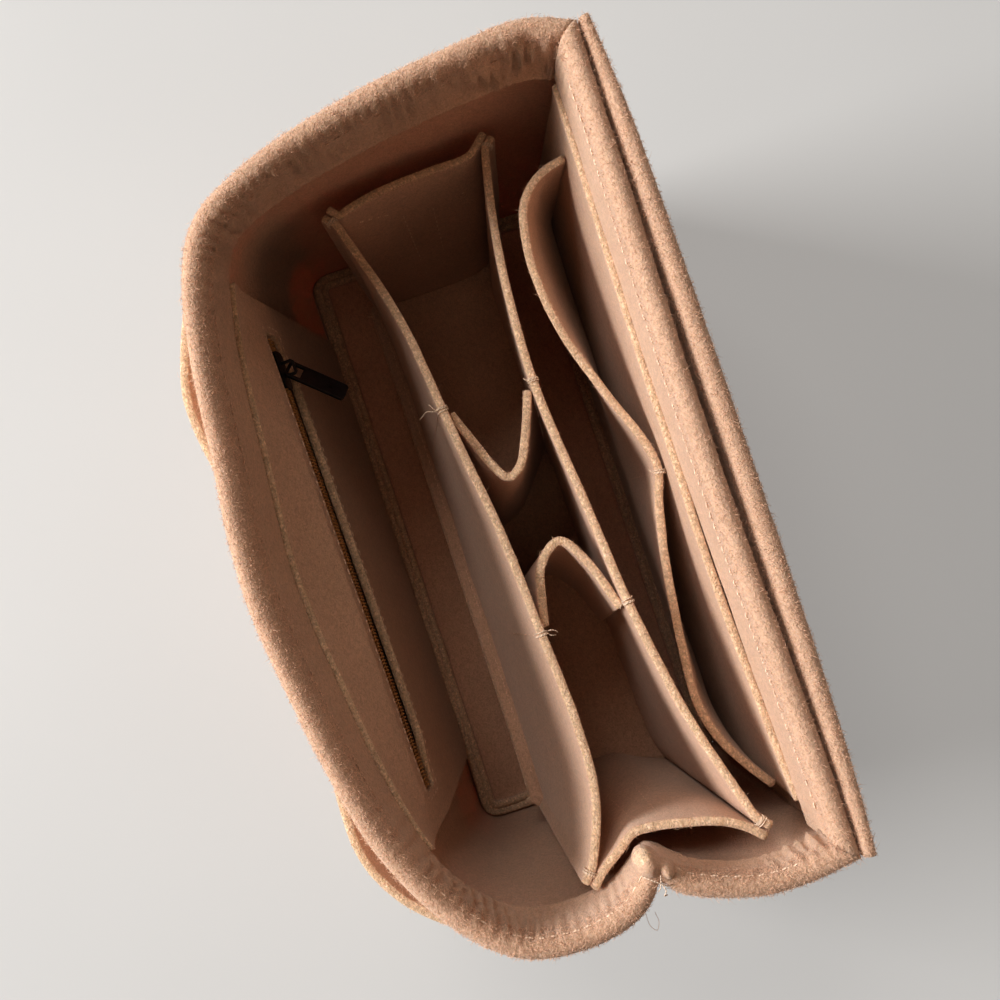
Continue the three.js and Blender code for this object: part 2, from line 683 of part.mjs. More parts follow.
// A panel's inner face with its ends turned out into the corner seams
function panelRail(shares, count, fromSide) {
  const points = onHalf(shares);
  const path = spread(points, count);
  const turned = (tip, sign) => {
    const e = [Math.sign(tip[0]), Math.sign(tip[1])].map((v) => v * Math.SQRT1_2);
    const away = [-sign * e[1], sign * e[0]].map((v) => v * FIT);
    const root = [tip[0] + away[0], tip[1] + away[1]];
    return [root, [root[0] + e[0] * CORNER_FLANGE, root[1] + e[1] * CORNER_FLANGE]];
  };
  const [startRoot, startTip] = turned(path[0], 1);
  const [endRoot, endTip] = turned(path[path.length - 1], -1);
  return railOf([startTip, startRoot, ...path.slice(1, -1), endRoot, endTip], fromSide);
}
const basketFoot = FELT + FIT;
const plainSide = () => flat(basketFoot, BASKET_HEIGHT)();
const footSide = () => [
  [0, basketFoot],
  [0, BASKET_HEIGHT],
  [FELT, BASKET_HEIGHT],
  [FELT, basketFoot + FELT],
  [BASKET_FLANGE, basketFoot + FELT],
  [BASKET_FLANGE, basketFoot],
];
const walls = [
  ["basket_back_panel", BASKET_BACK_LOW_SHARES, BASKET_BACK_TOP_SHARES, 34, footSide],
  ["basket_front_panel", BASKET_FRONT_LOW_SHARES, BASKET_FRONT_TOP_SHARES, 34, plainSide],
  ["basket_end_plus", BASKET_PLUS_LOW_SHARES, BASKET_PLUS_TOP_SHARES, 12, plainSide],
  ["basket_end_minus", BASKET_MINUS_LOW_SHARES, BASKET_MINUS_TOP_SHARES, 16, plainSide],
];
const rails = {};
for (const [name, lowShares, topShares, count, section] of walls) {
  const low = panelRail(lowShares, count, -1);
  const high = panelRail(topShares, count, -1);
  rails[name] = [low, high];
  felt(name, moved(sheet(low, high, 0, BASKET_HEIGHT, section), basketFrame), 0xc0947a);
}

// The basket's floor lies under the panels and reaches under the back panel's foot
const around = (shares) => onHalf(shares).slice(0, -1);
const floorInner = [
  ...around([...BASKET_BACK_LOW_SHARES]),
  ...around(BASKET_MINUS_LOW_SHARES),
  ...around(BASKET_FRONT_LOW_SHARES),
  ...around(BASKET_PLUS_LOW_SHARES),
];
const floorPlan = floorInner.map(([x, y], i) => {
  const a = floorInner[(i + floorInner.length - 1) % floorInner.length];
  const b = floorInner[(i + 1) % floorInner.length];
  const long = Math.hypot(b[0] - a[0], b[1] - a[1]);
  const reach = y > (BASKET_BACK_LOW_SHARES[0][1] - FIT / HALF_WIDTH) * HALF_WIDTH ? BASKET_FLANGE : FELT;
  return [x + ((b[1] - a[1]) / long) * reach, y - ((b[0] - a[0]) / long) * reach];
});
felt("basket_floor", prism(floorPlan, 0, FELT, ["x", "y", "z"], basketFrame), 0xb08468);

function basketFace(name, x, z) {
  const [low, high] = rails[name];
  const t = z / BASKET_HEIGHT;
  for (let i = 1; i + 2 < low.path.length; i += 1) {
    const [p, q] = [0, 1].map((k) => railPoint(low, high, i + k, 0, t));
    if ((p[0] - x) * (q[0] - x) <= 0) {
      return lerp(p[1], q[1], (x - p[0]) / (q[0] - p[0]));
    }
  }
  return 0;
}
const dividerTop = BASKET_HEIGHT - FELT - BEND;
const dividerKeep = FELT / 2 + 2 * FIT;
function divider(name, shares) {
  const path = (z) =>
    spread(
      shares.map(([share, t]) => {
        const x = share * HALF_LENGTH;
        const front = basketFace("basket_front_panel", x, z) + dividerKeep;
        const back = basketFace("basket_back_panel", x, z) - dividerKeep;
        return [x, lerp(front, back, t)];
      }),
      24,
    );
  const section = () => [
    [-FELT / 2, basketFoot],
    [-FELT / 2, dividerTop],
    [FELT / 2, dividerTop],
    [FELT / 2, basketFoot],
  ];
  const body = sheet(railOf(path(0)), railOf(path(BASKET_HEIGHT)), 0, BASKET_HEIGHT, section);
  felt(name, moved(body, basketFrame), 0xc99a7c);
}
divider("basket_divider_a", DIVIDER_A_SHARES);
divider("basket_divider_b", DIVIDER_B_SHARES);

export default group;
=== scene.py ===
import math
import bpy
import numpy as np
from mathutils import Matrix


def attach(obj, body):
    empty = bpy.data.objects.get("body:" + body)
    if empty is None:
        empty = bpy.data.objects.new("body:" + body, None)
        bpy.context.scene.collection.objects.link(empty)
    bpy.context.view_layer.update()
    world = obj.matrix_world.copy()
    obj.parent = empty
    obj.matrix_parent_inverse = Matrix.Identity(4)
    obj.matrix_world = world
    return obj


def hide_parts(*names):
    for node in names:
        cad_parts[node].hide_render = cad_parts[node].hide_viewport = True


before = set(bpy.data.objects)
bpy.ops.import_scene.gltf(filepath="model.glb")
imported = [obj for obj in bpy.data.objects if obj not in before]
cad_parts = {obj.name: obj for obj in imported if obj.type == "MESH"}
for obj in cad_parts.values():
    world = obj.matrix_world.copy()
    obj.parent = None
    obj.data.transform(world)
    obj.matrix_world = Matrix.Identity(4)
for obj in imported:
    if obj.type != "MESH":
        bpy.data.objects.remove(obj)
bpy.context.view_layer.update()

MM = 0.001

# ---------------------------------------------------------------- sizes of the part
HEIGHT = 160.0
BASE_LENGTH = 264.0
BASE_WIDTH = 115.2
RIM_LENGTH = 280.0
RIM_WIDTH = 152.0
CORNER_RADIUS = 11.0
FELT = 3.0
FIT = 0.3
HEM_SLOT = 1.0
HEM_DEPTH = 25.0
SEAM_GAP = 1.0
ZIP_SLOT_LENGTH = 170.0
ZIP_SLOT_WIDTH = 12.0
ZIP_TAPE_WIDTH = 10.0
ZIP_TAPE_THICK = 0.8
ZIP_SLIT = 1.1
COIL_THICK = 1.5
COIL_WIDTH = 2.4
BASKET_HEIGHT = 102.0
BASKET_FLANGE = 8.0
CORNER_FLANGE = 5.0
HALF_LENGTH = BASE_LENGTH / 2
HALF_WIDTH = BASE_WIDTH / 2
HEM = 2 * FELT + HEM_SLOT
DEGREE = math.pi / 180

RIM_SHARES = [
    [0.96, -0.803], [0.999, -0.605], [0.987, -0.241], [0.954, 0.161], [0.884, 0.621],
    [0.798, 0.903], [0.701, 1.009], [0.533, 1.088], [0.29, 1.137], [0.006, 1.179],
    [-0.297, 1.124], [-0.603, 1.005], [-0.809, 0.809], [-0.921, 0.589], [-0.949, 0.355],
    [-0.933, 0.141], [-0.903, 0.039], [-0.864, -0.026], [-0.894, -0.071], [-0.921, -0.158],
    [-0.963, -0.383], [-0.969, -0.592], [-0.954, -0.809],
]
BACK_PLUS, BACK_MINUS, PLEAT = 5, 12, 17
PLEAT_SHARE = -0.035
FRONT_BOW_SHARE = 0.033
SLIP_BULGE_SHARE = 0.1
INNER_TOP_SHARE, INNER_FOOT_SHARE = 0.838, 0.044
PAIR_TOP_SHARE, PAIR_FOOT_SHARE = 0.7375, 0.3125
BACK_TOP_SHARE, BACK_FOOT_SHARE = 0.72, 0.28
ZIP_SHARE, ZIP_PANEL_FOOT_SHARE, ZIP_BAND_SHARE = 0.644, 0.056, 0.082
INNER_BULGE_SHARES = [
    [0.955, 0.02], [0.77, 0.03], [0.45, 0.034], [0.2, 0.034], [-0.03, 0.038], [-0.27, 0.05],
    [-0.55, 0.046], [-0.8, 0.034], [-0.9, 0.02],
]
PAIR_SHARES = [
    [0.806, 0], [0.79, 0.14], [0.735, 0.28], [0.645, 0.34], [0.54, 0.35], [0.4, 0.31],
    [0.21, 0.17], [0.05, 0.03], [-0.029, 0], [-0.1, 0.05], [-0.211, 0.11], [-0.36, 0.17],
    [-0.513, 0.22], [-0.645, 0.24], [-0.735, 0.19], [-0.815, 0.1], [-0.85, 0.05], [-0.882, 0],
]
BACK_LOBE_SHARES = [
    [0, 0], [0.05, 0.09], [0.1, 0.21], [0.15, 0.28], [0.2, 0.31], [0.27, 0.28], [0.35, 0.17],
    [0.43, 0.05], [0.5, 0], [0.56, 0.05], [0.63, 0.15], [0.7, 0.25], [0.765, 0.29],
    [0.82, 0.24], [0.87, 0.14], [0.93, 0.04], [1, 0],
]
BACK_FROM, BACK_TO = 14, 49
BASKET_BACK_LOW = [
    [0.792, 0.408], [0.455, 0.408], [0.152, 0.408], [-0.152, 0.408], [-0.455, 0.408],
    [-0.72, 0.408], [-0.912, 0.408],
]
BASKET_BACK_TOP = [
    [0.766, 0.508], [0.708, 0.472], [0.446, 0.312], [0.164, 0.236], [-0.166, 0.142],
    [-0.435, 0.108], [-0.669, 0.083], [-0.84, 0.102], [-0.93, 0.161], [-1.022, 0.257],
]
BASKET_FRONT_LOW = [
    [-0.915, -0.469], [-0.848, -0.425], [-0.72, -0.408], [0, -0.408], [0.72, -0.408],
    [0.788, -0.434], [0.833, -0.469],
]
BASKET_FRONT_TOP = [
    [-1.036, -0.642], [-0.757, -0.474], [-0.447, -0.372], [-0.133, -0.321], [0.165, -0.274],
    [0.462, -0.314], [0.689, -0.391], [0.842, -0.472],
]
BASKET_PLUS_LOW = [
    [0.833, -0.469], [0.807, -0.347], [0.794, -0.026], [0.792, 0.26], [0.792, 0.408],
]
BASKET_PLUS_TOP = [
    [0.842, -0.472], [0.818, -0.382], [0.811, -0.122], [0.799, 0.208], [0.766, 0.508],
]
BASKET_MINUS_LOW = [
    [-0.912, 0.408], [-0.894, 0.243], [-0.852, 0.069], [-0.846, -0.035], [-0.852, -0.139],
    [-0.886, -0.295], [-0.915, -0.469],
]
BASKET_MINUS_TOP = [
    [-1.022, 0.257], [-0.992, 0.139], [-0.957, 0.017], [-0.955, -0.069], [-0.964, -0.208],
    [-0.996, -0.486], [-1.036, -0.642],
]
DIVIDER_A = [
    [0.168, 1], [0.08, 0.9], [0, 0.8], [-0.04, 0.68], [-0.02, 0.48], [0.04, 0.28], [0.163, 0],
]
DIVIDER_B = [
    [-0.43, 1], [-0.358, 0.9], [-0.28, 0.74], [-0.238, 0.4], [-0.3, 0.18], [-0.445, 0],
]
PIVOT_SHARE = 0.848
BASKET_TILT = 8
BASKET_RISE_SHARE = 0.06
ZIP_LEAN = 8
ZIP_SKEW = 1.3
ZIP_Y_SHARE = 1.0849712
SEWN = 0.06


# ---------------------------------------------------------------- small helpers
def lerp(a, b, t):
    return a + (b - a) * t


def unit(vectors, tiny=1e-9):
    return vectors / (np.linalg.norm(vectors, axis=-1, keepdims=True) + tiny)


def lengths(path):
    """How far along a path each of its points is."""
    return np.concatenate([[0], np.cumsum(np.linalg.norm(np.diff(path, axis=0), axis=1))])


def at_lengths(goal, far, path):
    """The points at these distances along a path whose own points are at far."""
    return np.stack([np.interp(goal, far, column) for column in path.T], axis=1)


def linked(name, data):
    """A new object of this data, in the scene."""
    obj = bpy.data.objects.new(name, data)
    bpy.context.scene.collection.objects.link(obj)
    return obj


# ---------------------------------------------------------------- camera and lights
CAMERA_TO_WORLD = (
    (-0.3149940911604822, 0.94870360964688, -0.02720631501989911, -0.00621787),
    (-0.9488752415905374, -0.31417728302114667, 0.0304698331132554, 0.01676551),
    (0.020359234525914118, 0.03541321612661648, 0.9991653545300139, 0.45774053),
    (0, 0, 0, 1),
)
# name, position, target, size, watts, colour
LIGHTS = (
    ("window", (0.72, 2.05, 1.15), (0, 0, 0.08), (1.1, 1.15), 82, (1.0, 0.985, 0.965)),
    ("window_top", (1.9, 0.55, 2.3), (0, 0, 0.08), (1.3, 0.9), 21, (1.0, 0.96, 0.91)),
    ("ceiling", (-0.15, 0.1, 2.3), (0, 0, 0.08), (0.8, 0.8), 1.8, (1.0, 0.8, 0.62)),
    ("bounce", (-1.6, -1.9, 0.75), (0, 0, 0.1), (1.8, 0.9), 1.6, (1.0, 0.88, 0.76)),
)
HORIZON, OVERHEAD = (0.21, 0.2, 0.185), (0.088, 0.066, 0.046)
TABLE_HALF, TABLE_DROP = 3.0, 0.0003


def put_camera():
    data = bpy.data.cameras.new("camera")
    data.sensor_width = 36
    data.sensor_fit = "HORIZONTAL"
    data.lens = 36
    data.clip_start, data.clip_end = 0.01, 20
    camera = linked("camera", data)
    camera.matrix_world = Matrix(CAMERA_TO_WORLD)
    bpy.context.scene.camera = camera


def aimed(position, target):
    back = unit(np.subtract(position, target))
    right = unit(np.cross([0, 0, 1], back))
    m = np.eye(4)
    m[:3] = np.column_stack([right, np.cross(back, right), back, position])
    return Matrix(m.tolist())


def put_lights():
    for name, position, target, size, watts, colour in LIGHTS:
        data = bpy.data.lights.new(name, "AREA")
        data.shape = "RECTANGLE"
        data.size, data.size_y = size
        data.energy = watts
        data.color = colour
        linked(name, data).matrix_world = aimed(position, target)


put_camera()
put_lights()
bpy.context.scene.view_settings.view_transform = "Standard"
bpy.context.scene.view_settings.look = "Medium High Contrast"


# ---------------------------------------------------------------- materials
class Graph:
    """Short names for the nodes that the materials use."""

    def __init__(self, tree, coord="Object"):
        self.tree = tree
        self.coord = tree.nodes.new("ShaderNodeTexCoord").outputs[coord]

    def feed(self, node, inputs):
        """Links or sets the inputs of a node."""
        for name, value in inputs.items():
            if hasattr(value, "is_linked"):
                self.tree.links.new(value, node.inputs[name])
            else:
                node.inputs[name].default_value = value

    def new(self, kind, inputs, output=0, **settings):
        node = self.tree.nodes.new("ShaderNode" + kind)
        for name, value in settings.items():
            setattr(node, name, value)
        self.feed(node, inputs)
        return node.outputs[output]

    def scaled(self, factors, turn):
        return self.new("Mapping", {"Vector": self.coord, "Scale": factors, "Rotation": turn})

    def noise(self, scale, detail=3.0, rough=0.55, distort=0.0, vector=None):
        inputs = {"Scale": scale, "Detail": detail, "Roughness": rough, "Distortion": distort}
        return self.new("TexNoise", {"Vector": vector or self.coord, **inputs})

    def wave(self, scale, direction, distort):
        inputs = {"Vector": self.coord, "Scale": scale, "Distortion": distort}
        return self.new("TexWave", inputs, 1, bands_direction=direction)

    def cells(self, scale):
        return self.new("TexVoronoi", {"Vector": self.coord, "Scale": scale})

    def ramp(self, value, stops):
        node = self.tree.nodes.new("ShaderNodeValToRGB")
        self.tree.links.new(value, node.inputs[0])
        marks = node.color_ramp.elements
        while len(marks) < len(stops):
            marks.new(0.5)
        for mark, (place, colour) in zip(marks, stops):
            mark.position = place
            mark.color = (*colour, 1)
        return node.outputs[0]

    def product(self, a, b):
        return self.new("Math", {0: a, 1: b}, operation="MULTIPLY")

    def mix(self, share, a, b, kind="MIX"):
        inputs = {0: share, 6: a, 7: b}
        return self.new("Mix", inputs, 2, data_type="RGBA", blend_type=kind)

    def bump(self, height, strength, distance, under=None):
        inputs = {"Strength": strength, "Distance": distance, "Height": height}
        return self.new("Bump", {**inputs, "Normal": under} if under else inputs)


def new_material(name):
    m = bpy.data.materials.new(name)
    m.use_nodes = True
    tree = m.node_tree
    tree.nodes.clear()
    out = tree.nodes.new("ShaderNodeOutputMaterial")
    shader = tree.nodes.new("ShaderNodeBsdfPrincipled")
    tree.links.new(shader.outputs[0], out.inputs[0])
    return m, shader, Graph(tree)


def shade(colour, factor):
    return tuple(min(1.0, c * factor) for c in colour)


def grey(value):
    return (value, value, value)


def felt_material(name, base, grain=1.0, raw=False, glow=0.12):
    """Needled felt: matted fibres, faint lighter and darker tufts, soft sheen."""
    m, shader, g = new_material(name)
    tufts = g.noise(460, 3, 0.6, 0.8)
    fibres = g.noise(820, 2.5, 0.6, 1.6)
    mats = g.noise(430, 3, 0.65, 3.0, g.scaled((1, 2.6, 0.7), (0.4, 0.8, 0.3)))
    mottle = g.noise(34, 3, 0.5)
    contrast = 0.15 if raw else 0.1
    dark, light = shade(base, 1 - 1.4 * contrast), shade(base, 1 + 1.3 * contrast)
    tone = g.ramp(fibres, [(0.36, dark), (0.5, base), (0.62, light)])
    patch = g.ramp(mottle, [(0.3, (0.95, 0.945, 0.94)), (0.7, grey(1.04))])
    fleck = g.ramp(mats, [(0.36, (0.93, 0.925, 0.92)), (0.64, grey(1.07))])
    colour = g.mix(1.0, g.mix(1.0, tone, patch, "MULTIPLY"), fleck, "MULTIPLY")
    if raw:
        pith = g.ramp(g.cells(760), [(0.0, (1.34, 1.34, 1.3)), (0.5, (0.88, 0.84, 0.76))])
        colour = g.mix(0.85, colour, g.mix(1.0, colour, pith, "MULTIPLY"))
    middle = g.bump(mats, 0.36 * grain, 0.0006, g.bump(tufts, 0.5 * grain, 0.0009))
    g.feed(shader, {
        "Base Color": colour,
        "Roughness": g.ramp(tufts, [(0.3, grey(0.86)), (0.7, grey(0.98))]),
        "Normal": g.bump(fibres, 0.6 * grain, 0.0005, middle),
        "Specular IOR Level": 0.12,
        "Sheen Weight": 0.45,
        "Sheen Roughness": 0.5,
        "Sheen Tint": (1.0, 0.86, 0.76, 1),
    })
    if glow:
        g.feed(shader, {
            "Subsurface Weight": glow,
            "Subsurface Radius": (1.0, 0.52, 0.24),
            "Subsurface Scale": 0.011,
        })
    return m


def thread_material(name, base):
    m, shader, g = new_material(name)
    twist = g.wave(520, "DIAGONAL", 1.5)
    g.feed(shader, {
        "Base Color": g.ramp(
            twist, [(0.1, shade(base, 0.78)), (0.6, base), (1.0, shade(base, 1.12))]
        ),
        "Normal": g.bump(twist, 0.6, 0.0002),
        "Roughness": 0.6,
        "Sheen Weight": 0.16,
    })
    return m


def tape_material(name):
    """Woven tape: a herringbone of ribs with golden warp threads."""
    m, shader, g = new_material(name)
    weave = g.product(g.wave(560, "X", 0.6), g.wave(760, "Z", 0.8))
    dark, brown, gold = (0.028, 0.012, 0.005), (0.14, 0.062, 0.022), (0.34, 0.17, 0.06)
    g.feed(shader, {
        "Base Color": g.ramp(weave, [(0.0, dark), (0.45, brown), (1.0, gold)]),
        "Normal": g.bump(weave, 0.8, 0.0003),
        "Roughness": 0.75,
        "Sheen Weight": 0.16,
    })
    return m


def coil_material(name):
    m, shader, g = new_material(name)
    brown, gold = (0.46, 0.23, 0.085), (0.74, 0.42, 0.17)
    g.feed(shader, {
        "Base Color": g.ramp(g.noise(260, 3), [(0.3, brown), (0.7, gold)]),
        "Normal": g.bump(g.noise(2500, 2), 0.15, 0.0001),
        "Roughness": 0.34,
        "Coat Weight": 0.16,
    })
    return m


def metal_material(name):
    """Black lacquered zinc, a little uneven in tone and gloss."""
    m, shader, g = new_material(name)
    cloud = g.noise(420, 5, 0.6)
    g.feed(shader, {
        "Base Color": g.ramp(cloud, [(0.35, (0.006, 0.006, 0.008)), (0.75, (0.02, 0.02, 0.024))]),
        "Roughness": g.ramp(cloud, [(0.3, grey(0.26)), (0.7, grey(0.44))]),
        "Normal": g.bump(g.noise(1800, 3), 0.12, 0.0001),
        "Metallic": 0.35,
        "Coat Weight": 0.5,
        "Coat Roughness": 0.16,
    })
    return m


def table_material(name):
    m, shader, g = new_material(name)
    g.feed(shader, {
        "Base Color": g.ramp(
            g.noise(3, 2), [(0.3, (0.36, 0.36, 0.358)), (0.7, (0.385, 0.387, 0.386))]
        ),
        "Roughness": 0.75,
        "Emission Color": (0.985, 0.985, 0.985, 1),
        "Emission Strength": 0.22,
    })
    return m


FELT_BASE = (0.585, 0.383, 0.275)
BASKET_BASE = (0.6, 0.392, 0.285)
RAW_BASE = (0.79, 0.57, 0.425)
tub_felt = felt_material("tub_felt", FELT_BASE)
tub_raw = felt_material("tub_raw_edge", RAW_BASE, 1.6, True)
basket_felt = felt_material("basket_felt", BASKET_BASE, 0.8)
basket_raw = felt_material("basket_raw_edge", shade(RAW_BASE, 1.03), 1.6, True)
# the loose fibres are painted 1.45 times lighter than the felt: a painted glow that stands in for
# light shining through the thin fibres
fibre_felt_painted_glow = felt_material("felt_fibre_painted_glow", shade(FELT_BASE, 1.45), 0.5, False, 0)
thread = thread_material("felt_thread", (0.78, 0.52, 0.38))
white_thread = thread_material("white_thread", (0.8, 0.62, 0.48))
pale_thread = thread_material("pale_thread", (0.84, 0.62, 0.47))
zip_tape = tape_material("zip_tape")
zip_coil = coil_material("zip_coil")
zip_metal = metal_material("zip_metal")
TUB = [tub_felt, tub_raw]
BASKET = [basket_felt, basket_raw]


# ---------------------------------------------------------------- room and table
def put_room():
    """A plain room: paler round the horizon than overhead."""
    world = bpy.data.worlds.new("room")
    bpy.context.scene.world = world
    world.use_nodes = True
    g = Graph(world.node_tree, "Generated")
    height = g.new("SeparateXYZ", {0: g.coord}, "Z")
    light = g.ramp(height, [(0.1, HORIZON), (0.8, OVERHEAD)])
    g.feed(world.node_tree.nodes["Background"], {0: light, 1: 1.0})


def put_table():
    mesh = bpy.data.meshes.new("table")
    half = TABLE_HALF
    corners = [(-half, -half, 0), (half, -half, 0), (half, half, 0), (-half, half, 0)]
    mesh.from_pydata(corners, [], [(0, 1, 2, 3)])
    mesh.materials.append(table_material("table_paper"))
    table = linked("table", mesh)
    table.location.z = -TABLE_DROP


put_room()
put_table()


# ---------------------------------------------------------------- noise for the shapes
LATTICE_SIZE = 32
LATTICE = np.random.default_rng(7).uniform(-1, 1, (LATTICE_SIZE,) * 3)


def wander(points, size, seed=0):
    """Smooth value noise from -1 to 1 at points in millimetres."""
    p = np.asarray(points) / size + seed * 7.31
    i = np.floor(p).astype(int)
    f = p - i
    f = f * f * (3 - 2 * f)
    total = 0.0
    for corner in np.ndindex(2, 2, 2):
        weight = 1.0
        for axis, upper in enumerate(corner):
            weight = weight * (f[..., axis] if upper else 1 - f[..., axis])
        cell = (i + corner) % LATTICE_SIZE
        total = total + weight * LATTICE[cell[..., 0], cell[..., 1], cell[..., 2]]
    return total


# ---------------------------------------------------------------- rails of the part
WALK_STEPS = 24


def spline_at(points, where):
    """Centripetal curve through points, at places counted in points."""
    pts = np.asarray(points, float)
    n = len(pts)
    i = np.clip(np.floor(where).astype(int), 0, n - 2)
    w = (where - i)[:, None]
    p1, p2 = pts[i], pts[i + 1]
    p0 = np.where((i > 0)[:, None], pts[np.maximum(i - 1, 0)], 2 * pts[0] - pts[1])
    p3 = np.where((i + 2 < n)[:, None], pts[np.minimum(i + 2, n - 1)], 2 * pts[-1] - pts[-2])
    d0, d1, d2 = (
        np.maximum(np.sum((a - b) ** 2, axis=1) ** 0.25, 1e-4)[:, None]
        for a, b in ((p0, p1), (p1, p2), (p2, p3))
    )
    t1 = ((p1 - p0) / d0 - (p2 - p0) / (d0 + d1) + (p2 - p1) / d1) * d1
    t2 = ((p2 - p1) / d1 - (p3 - p1) / (d1 + d2) + (p3 - p2) / d2) * d1
    return (
        p1
        + t1 * w
        + (-3 * p1 + 3 * p2 - 2 * t1 - t2) * w**2
        + (2 * p1 - 2 * p2 + t1 + t2) * w**3
    )


def run(points, start, end, count):
    """Evenly walked points on a curve, from one of its points to another."""
    walk = spline_at(points, np.linspace(start, end, WALK_STEPS * (end - start) + 1))
    far = lengths(walk)
    return at_lengths(np.linspace(0, far[-1], count + 1), far, walk)


def spread(points, count):
    return run(points, 0, len(points) - 1, count)


def placed(shares, half_x=HALF_LENGTH, half_y=HALF_WIDTH):
    return np.asarray(shares, float) * [half_x, half_y]


class Rail:
    """A plan path with the direction in which its thickness grows."""

    def __init__(self, path, side=1):
        self.path = np.asarray(path, float).copy()
        ahead = np.vstack([self.path[1:], self.path[-1:]])
        behind = np.vstack([self.path[:1], self.path[:-1]])
        along = unit(ahead - behind)
        self.side = side * np.stack([-along[:, 1], along[:, 0]], axis=1)

    def mitre(self, index, other, step):
        own = self.side[index].copy()
        self.side[index] = (own + other) / (1 + own @ other)
        self.path[index] = self.path[index] + np.array([own[1], -own[0]]) * step

    def finer(self, factor):
        n = len(self.path) - 1
        where = np.linspace(0, n, n * factor + 1)
        made = Rail.__new__(Rail)
        made.path = smooth_at(self.path, where)
        made.side = smooth_at(self.side, where)
        return made


def smooth_at(values, where):
    """Cubic between stations, straight in the first and last run."""
    v = np.asarray(values, float)
    n = len(v)
    i = np.clip(np.floor(where).astype(int), 0, n - 2)
    w = (where - i)[:, None]
    p1, p2 = v[i], v[i + 1]
    m1 = (v[np.minimum(i + 1, n - 1)] - v[np.maximum(i - 1, 0)]) / 2
    m2 = (v[np.minimum(i + 2, n - 1)] - v[i]) / 2
    h = w * w * (3 - 2 * w)
    cubic = (
        p1 * (1 - h)
        + p2 * h
        + m1 * (w**3 - 2 * w**2 + w)
        + m2 * (w**3 - w**2)
    )
    ends = ((i == 0) | (i == n - 2))[:, None]
    return np.where(ends, lerp(p1, p2, w), cubic)


def line(a, b, count):
    t = (np.arange(count) / count)[:, None]
    return lerp(np.array(a, float), np.array(b, float), t)


def arc(cx, cy, start, end, count):
    angle = lerp(start, end, np.arange(count) / count) * DEGREE
    return np.stack(
        [cx + CORNER_RADIUS * np.cos(angle), cy + CORNER_RADIUS * np.sin(angle)], axis=1
    )


CX = HALF_LENGTH - CORNER_RADIUS
CY = HALF_WIDTH - CORNER_RADIUS
PLEAT_Y = PLEAT_SHARE * HALF_WIDTH
wrap_low = Rail(
    np.vstack(
        [
            line([HALF_LENGTH, -HALF_WIDTH], [HALF_LENGTH, CY], 14),
            arc(CX, CY, 0, 90, 4),
            line([CX, HALF_WIDTH], [-CX, HALF_WIDTH], 24),
            arc(-CX, CY, 90, 180, 4),
            line([-HALF_LENGTH, CY], [-HALF_LENGTH, PLEAT_Y], 11),
            line([-HALF_LENGTH, PLEAT_Y], [-HALF_LENGTH, -HALF_WIDTH], 11),
            [[-HALF_LENGTH, -HALF_WIDTH]],
        ]
    )
)
rim_points = placed(RIM_SHARES, RIM_LENGTH / 2, RIM_WIDTH / 2)
wrap_high = Rail(
    np.vstack(
        [
            run(rim_points, 0, BACK_PLUS, 16)[:-1],
            run(rim_points, BACK_PLUS, BACK_MINUS, 28)[:-1],
            run(rim_points, BACK_MINUS, PLEAT, 13)[:-1],
            run(rim_points, PLEAT, len(rim_points) - 1, 11),
        ]
    )
)
FRONT_STEPS = 28
front_share = np.arange(FRONT_STEPS + 1) / FRONT_STEPS
front_x = lerp(-HALF_LENGTH, HALF_LENGTH, front_share)
front_low = Rail(np.stack([front_x, np.full_like(front_x, -HALF_WIDTH)], axis=1))
bow = FRONT_BOW_SHARE * HALF_WIDTH
front_high = Rail(
    lerp(rim_points[-1], rim_points[0], front_share[:, None])
    + np.stack([0 * front_share, bow * np.sin(math.pi * front_share) ** 2], axis=1)
)
LAST = len(wrap_low.path) - 1
for wrap, front in ((wrap_low, front_low), (wrap_high, front_high)):
    start_side, end_side = wrap.side[0].copy(), wrap.side[LAST].copy()
    left_side, right_side = front.side[0].copy(), front.side[FRONT_STEPS].copy()
    wrap.mitre(0, right_side, SEWN)
    wrap.mitre(LAST, left_side, -SEWN)
    front.mitre(0, end_side, SEWN)
    front.mitre(FRONT_STEPS, start_side, -SEWN)


class Wall:
    """A ruled surface between a low and a high rail, at finer stations."""

    def __init__(self, low, high, floor, top, factor=4, matrix=None):
        self.low, self.high = low.finer(factor), high.finer(factor)
        self.floor, self.top, self.factor = floor, top, factor
        self.matrix = matrix
        self.far = lengths(lerp(self.low.path, self.high.path, 0.5))
        self.count = len(self.far)

    def points(self, offset, z):
        """offset and z are arrays [station, ...]; the result has xyz last."""
        shape = (self.count,) + (1,) * (offset.ndim - 1)
        t = (z - self.floor) / (self.top - self.floor)

        def at(rail, k):
            return rail.path[:, k].reshape(shape) + rail.side[:, k].reshape(shape) * offset

        x, y = (lerp(at(self.low, k), at(self.high, k), t) for k in (0, 1))
        return np.stack([x, y, z + 0 * x], axis=-1)

    def level(self, offset, z):
        """The wall's points at one offset and height, one for each station."""
        return self.points(np.full(self.count, float(offset)), np.full(self.count, float(z)))

    def line(self, offset, z, start, end):
        """Points along the wall at one offset and height, between shares of its run."""
        path = self.level(offset, z)
        far = lengths(path)
        goal = np.linspace(start, end, LINE_POINTS) * far[-1]
        return place(at_lengths(goal, far, path), self.matrix)


def place(points, matrix):
    if matrix is None:
        return points
    return points @ matrix[:3, :3].T + matrix[:3, 3]


# ---------------------------------------------------------------- meshes
LINE_POINTS = 400
ACROSS = np.array([-1.0, -0.93, -0.45, 0.0, 0.45, 0.93, 1.0])
MIDDLE = 3
ROUND = 1 - ACROSS**2
EDGE_BULGE, END_BULGE = 0.34, 0.3


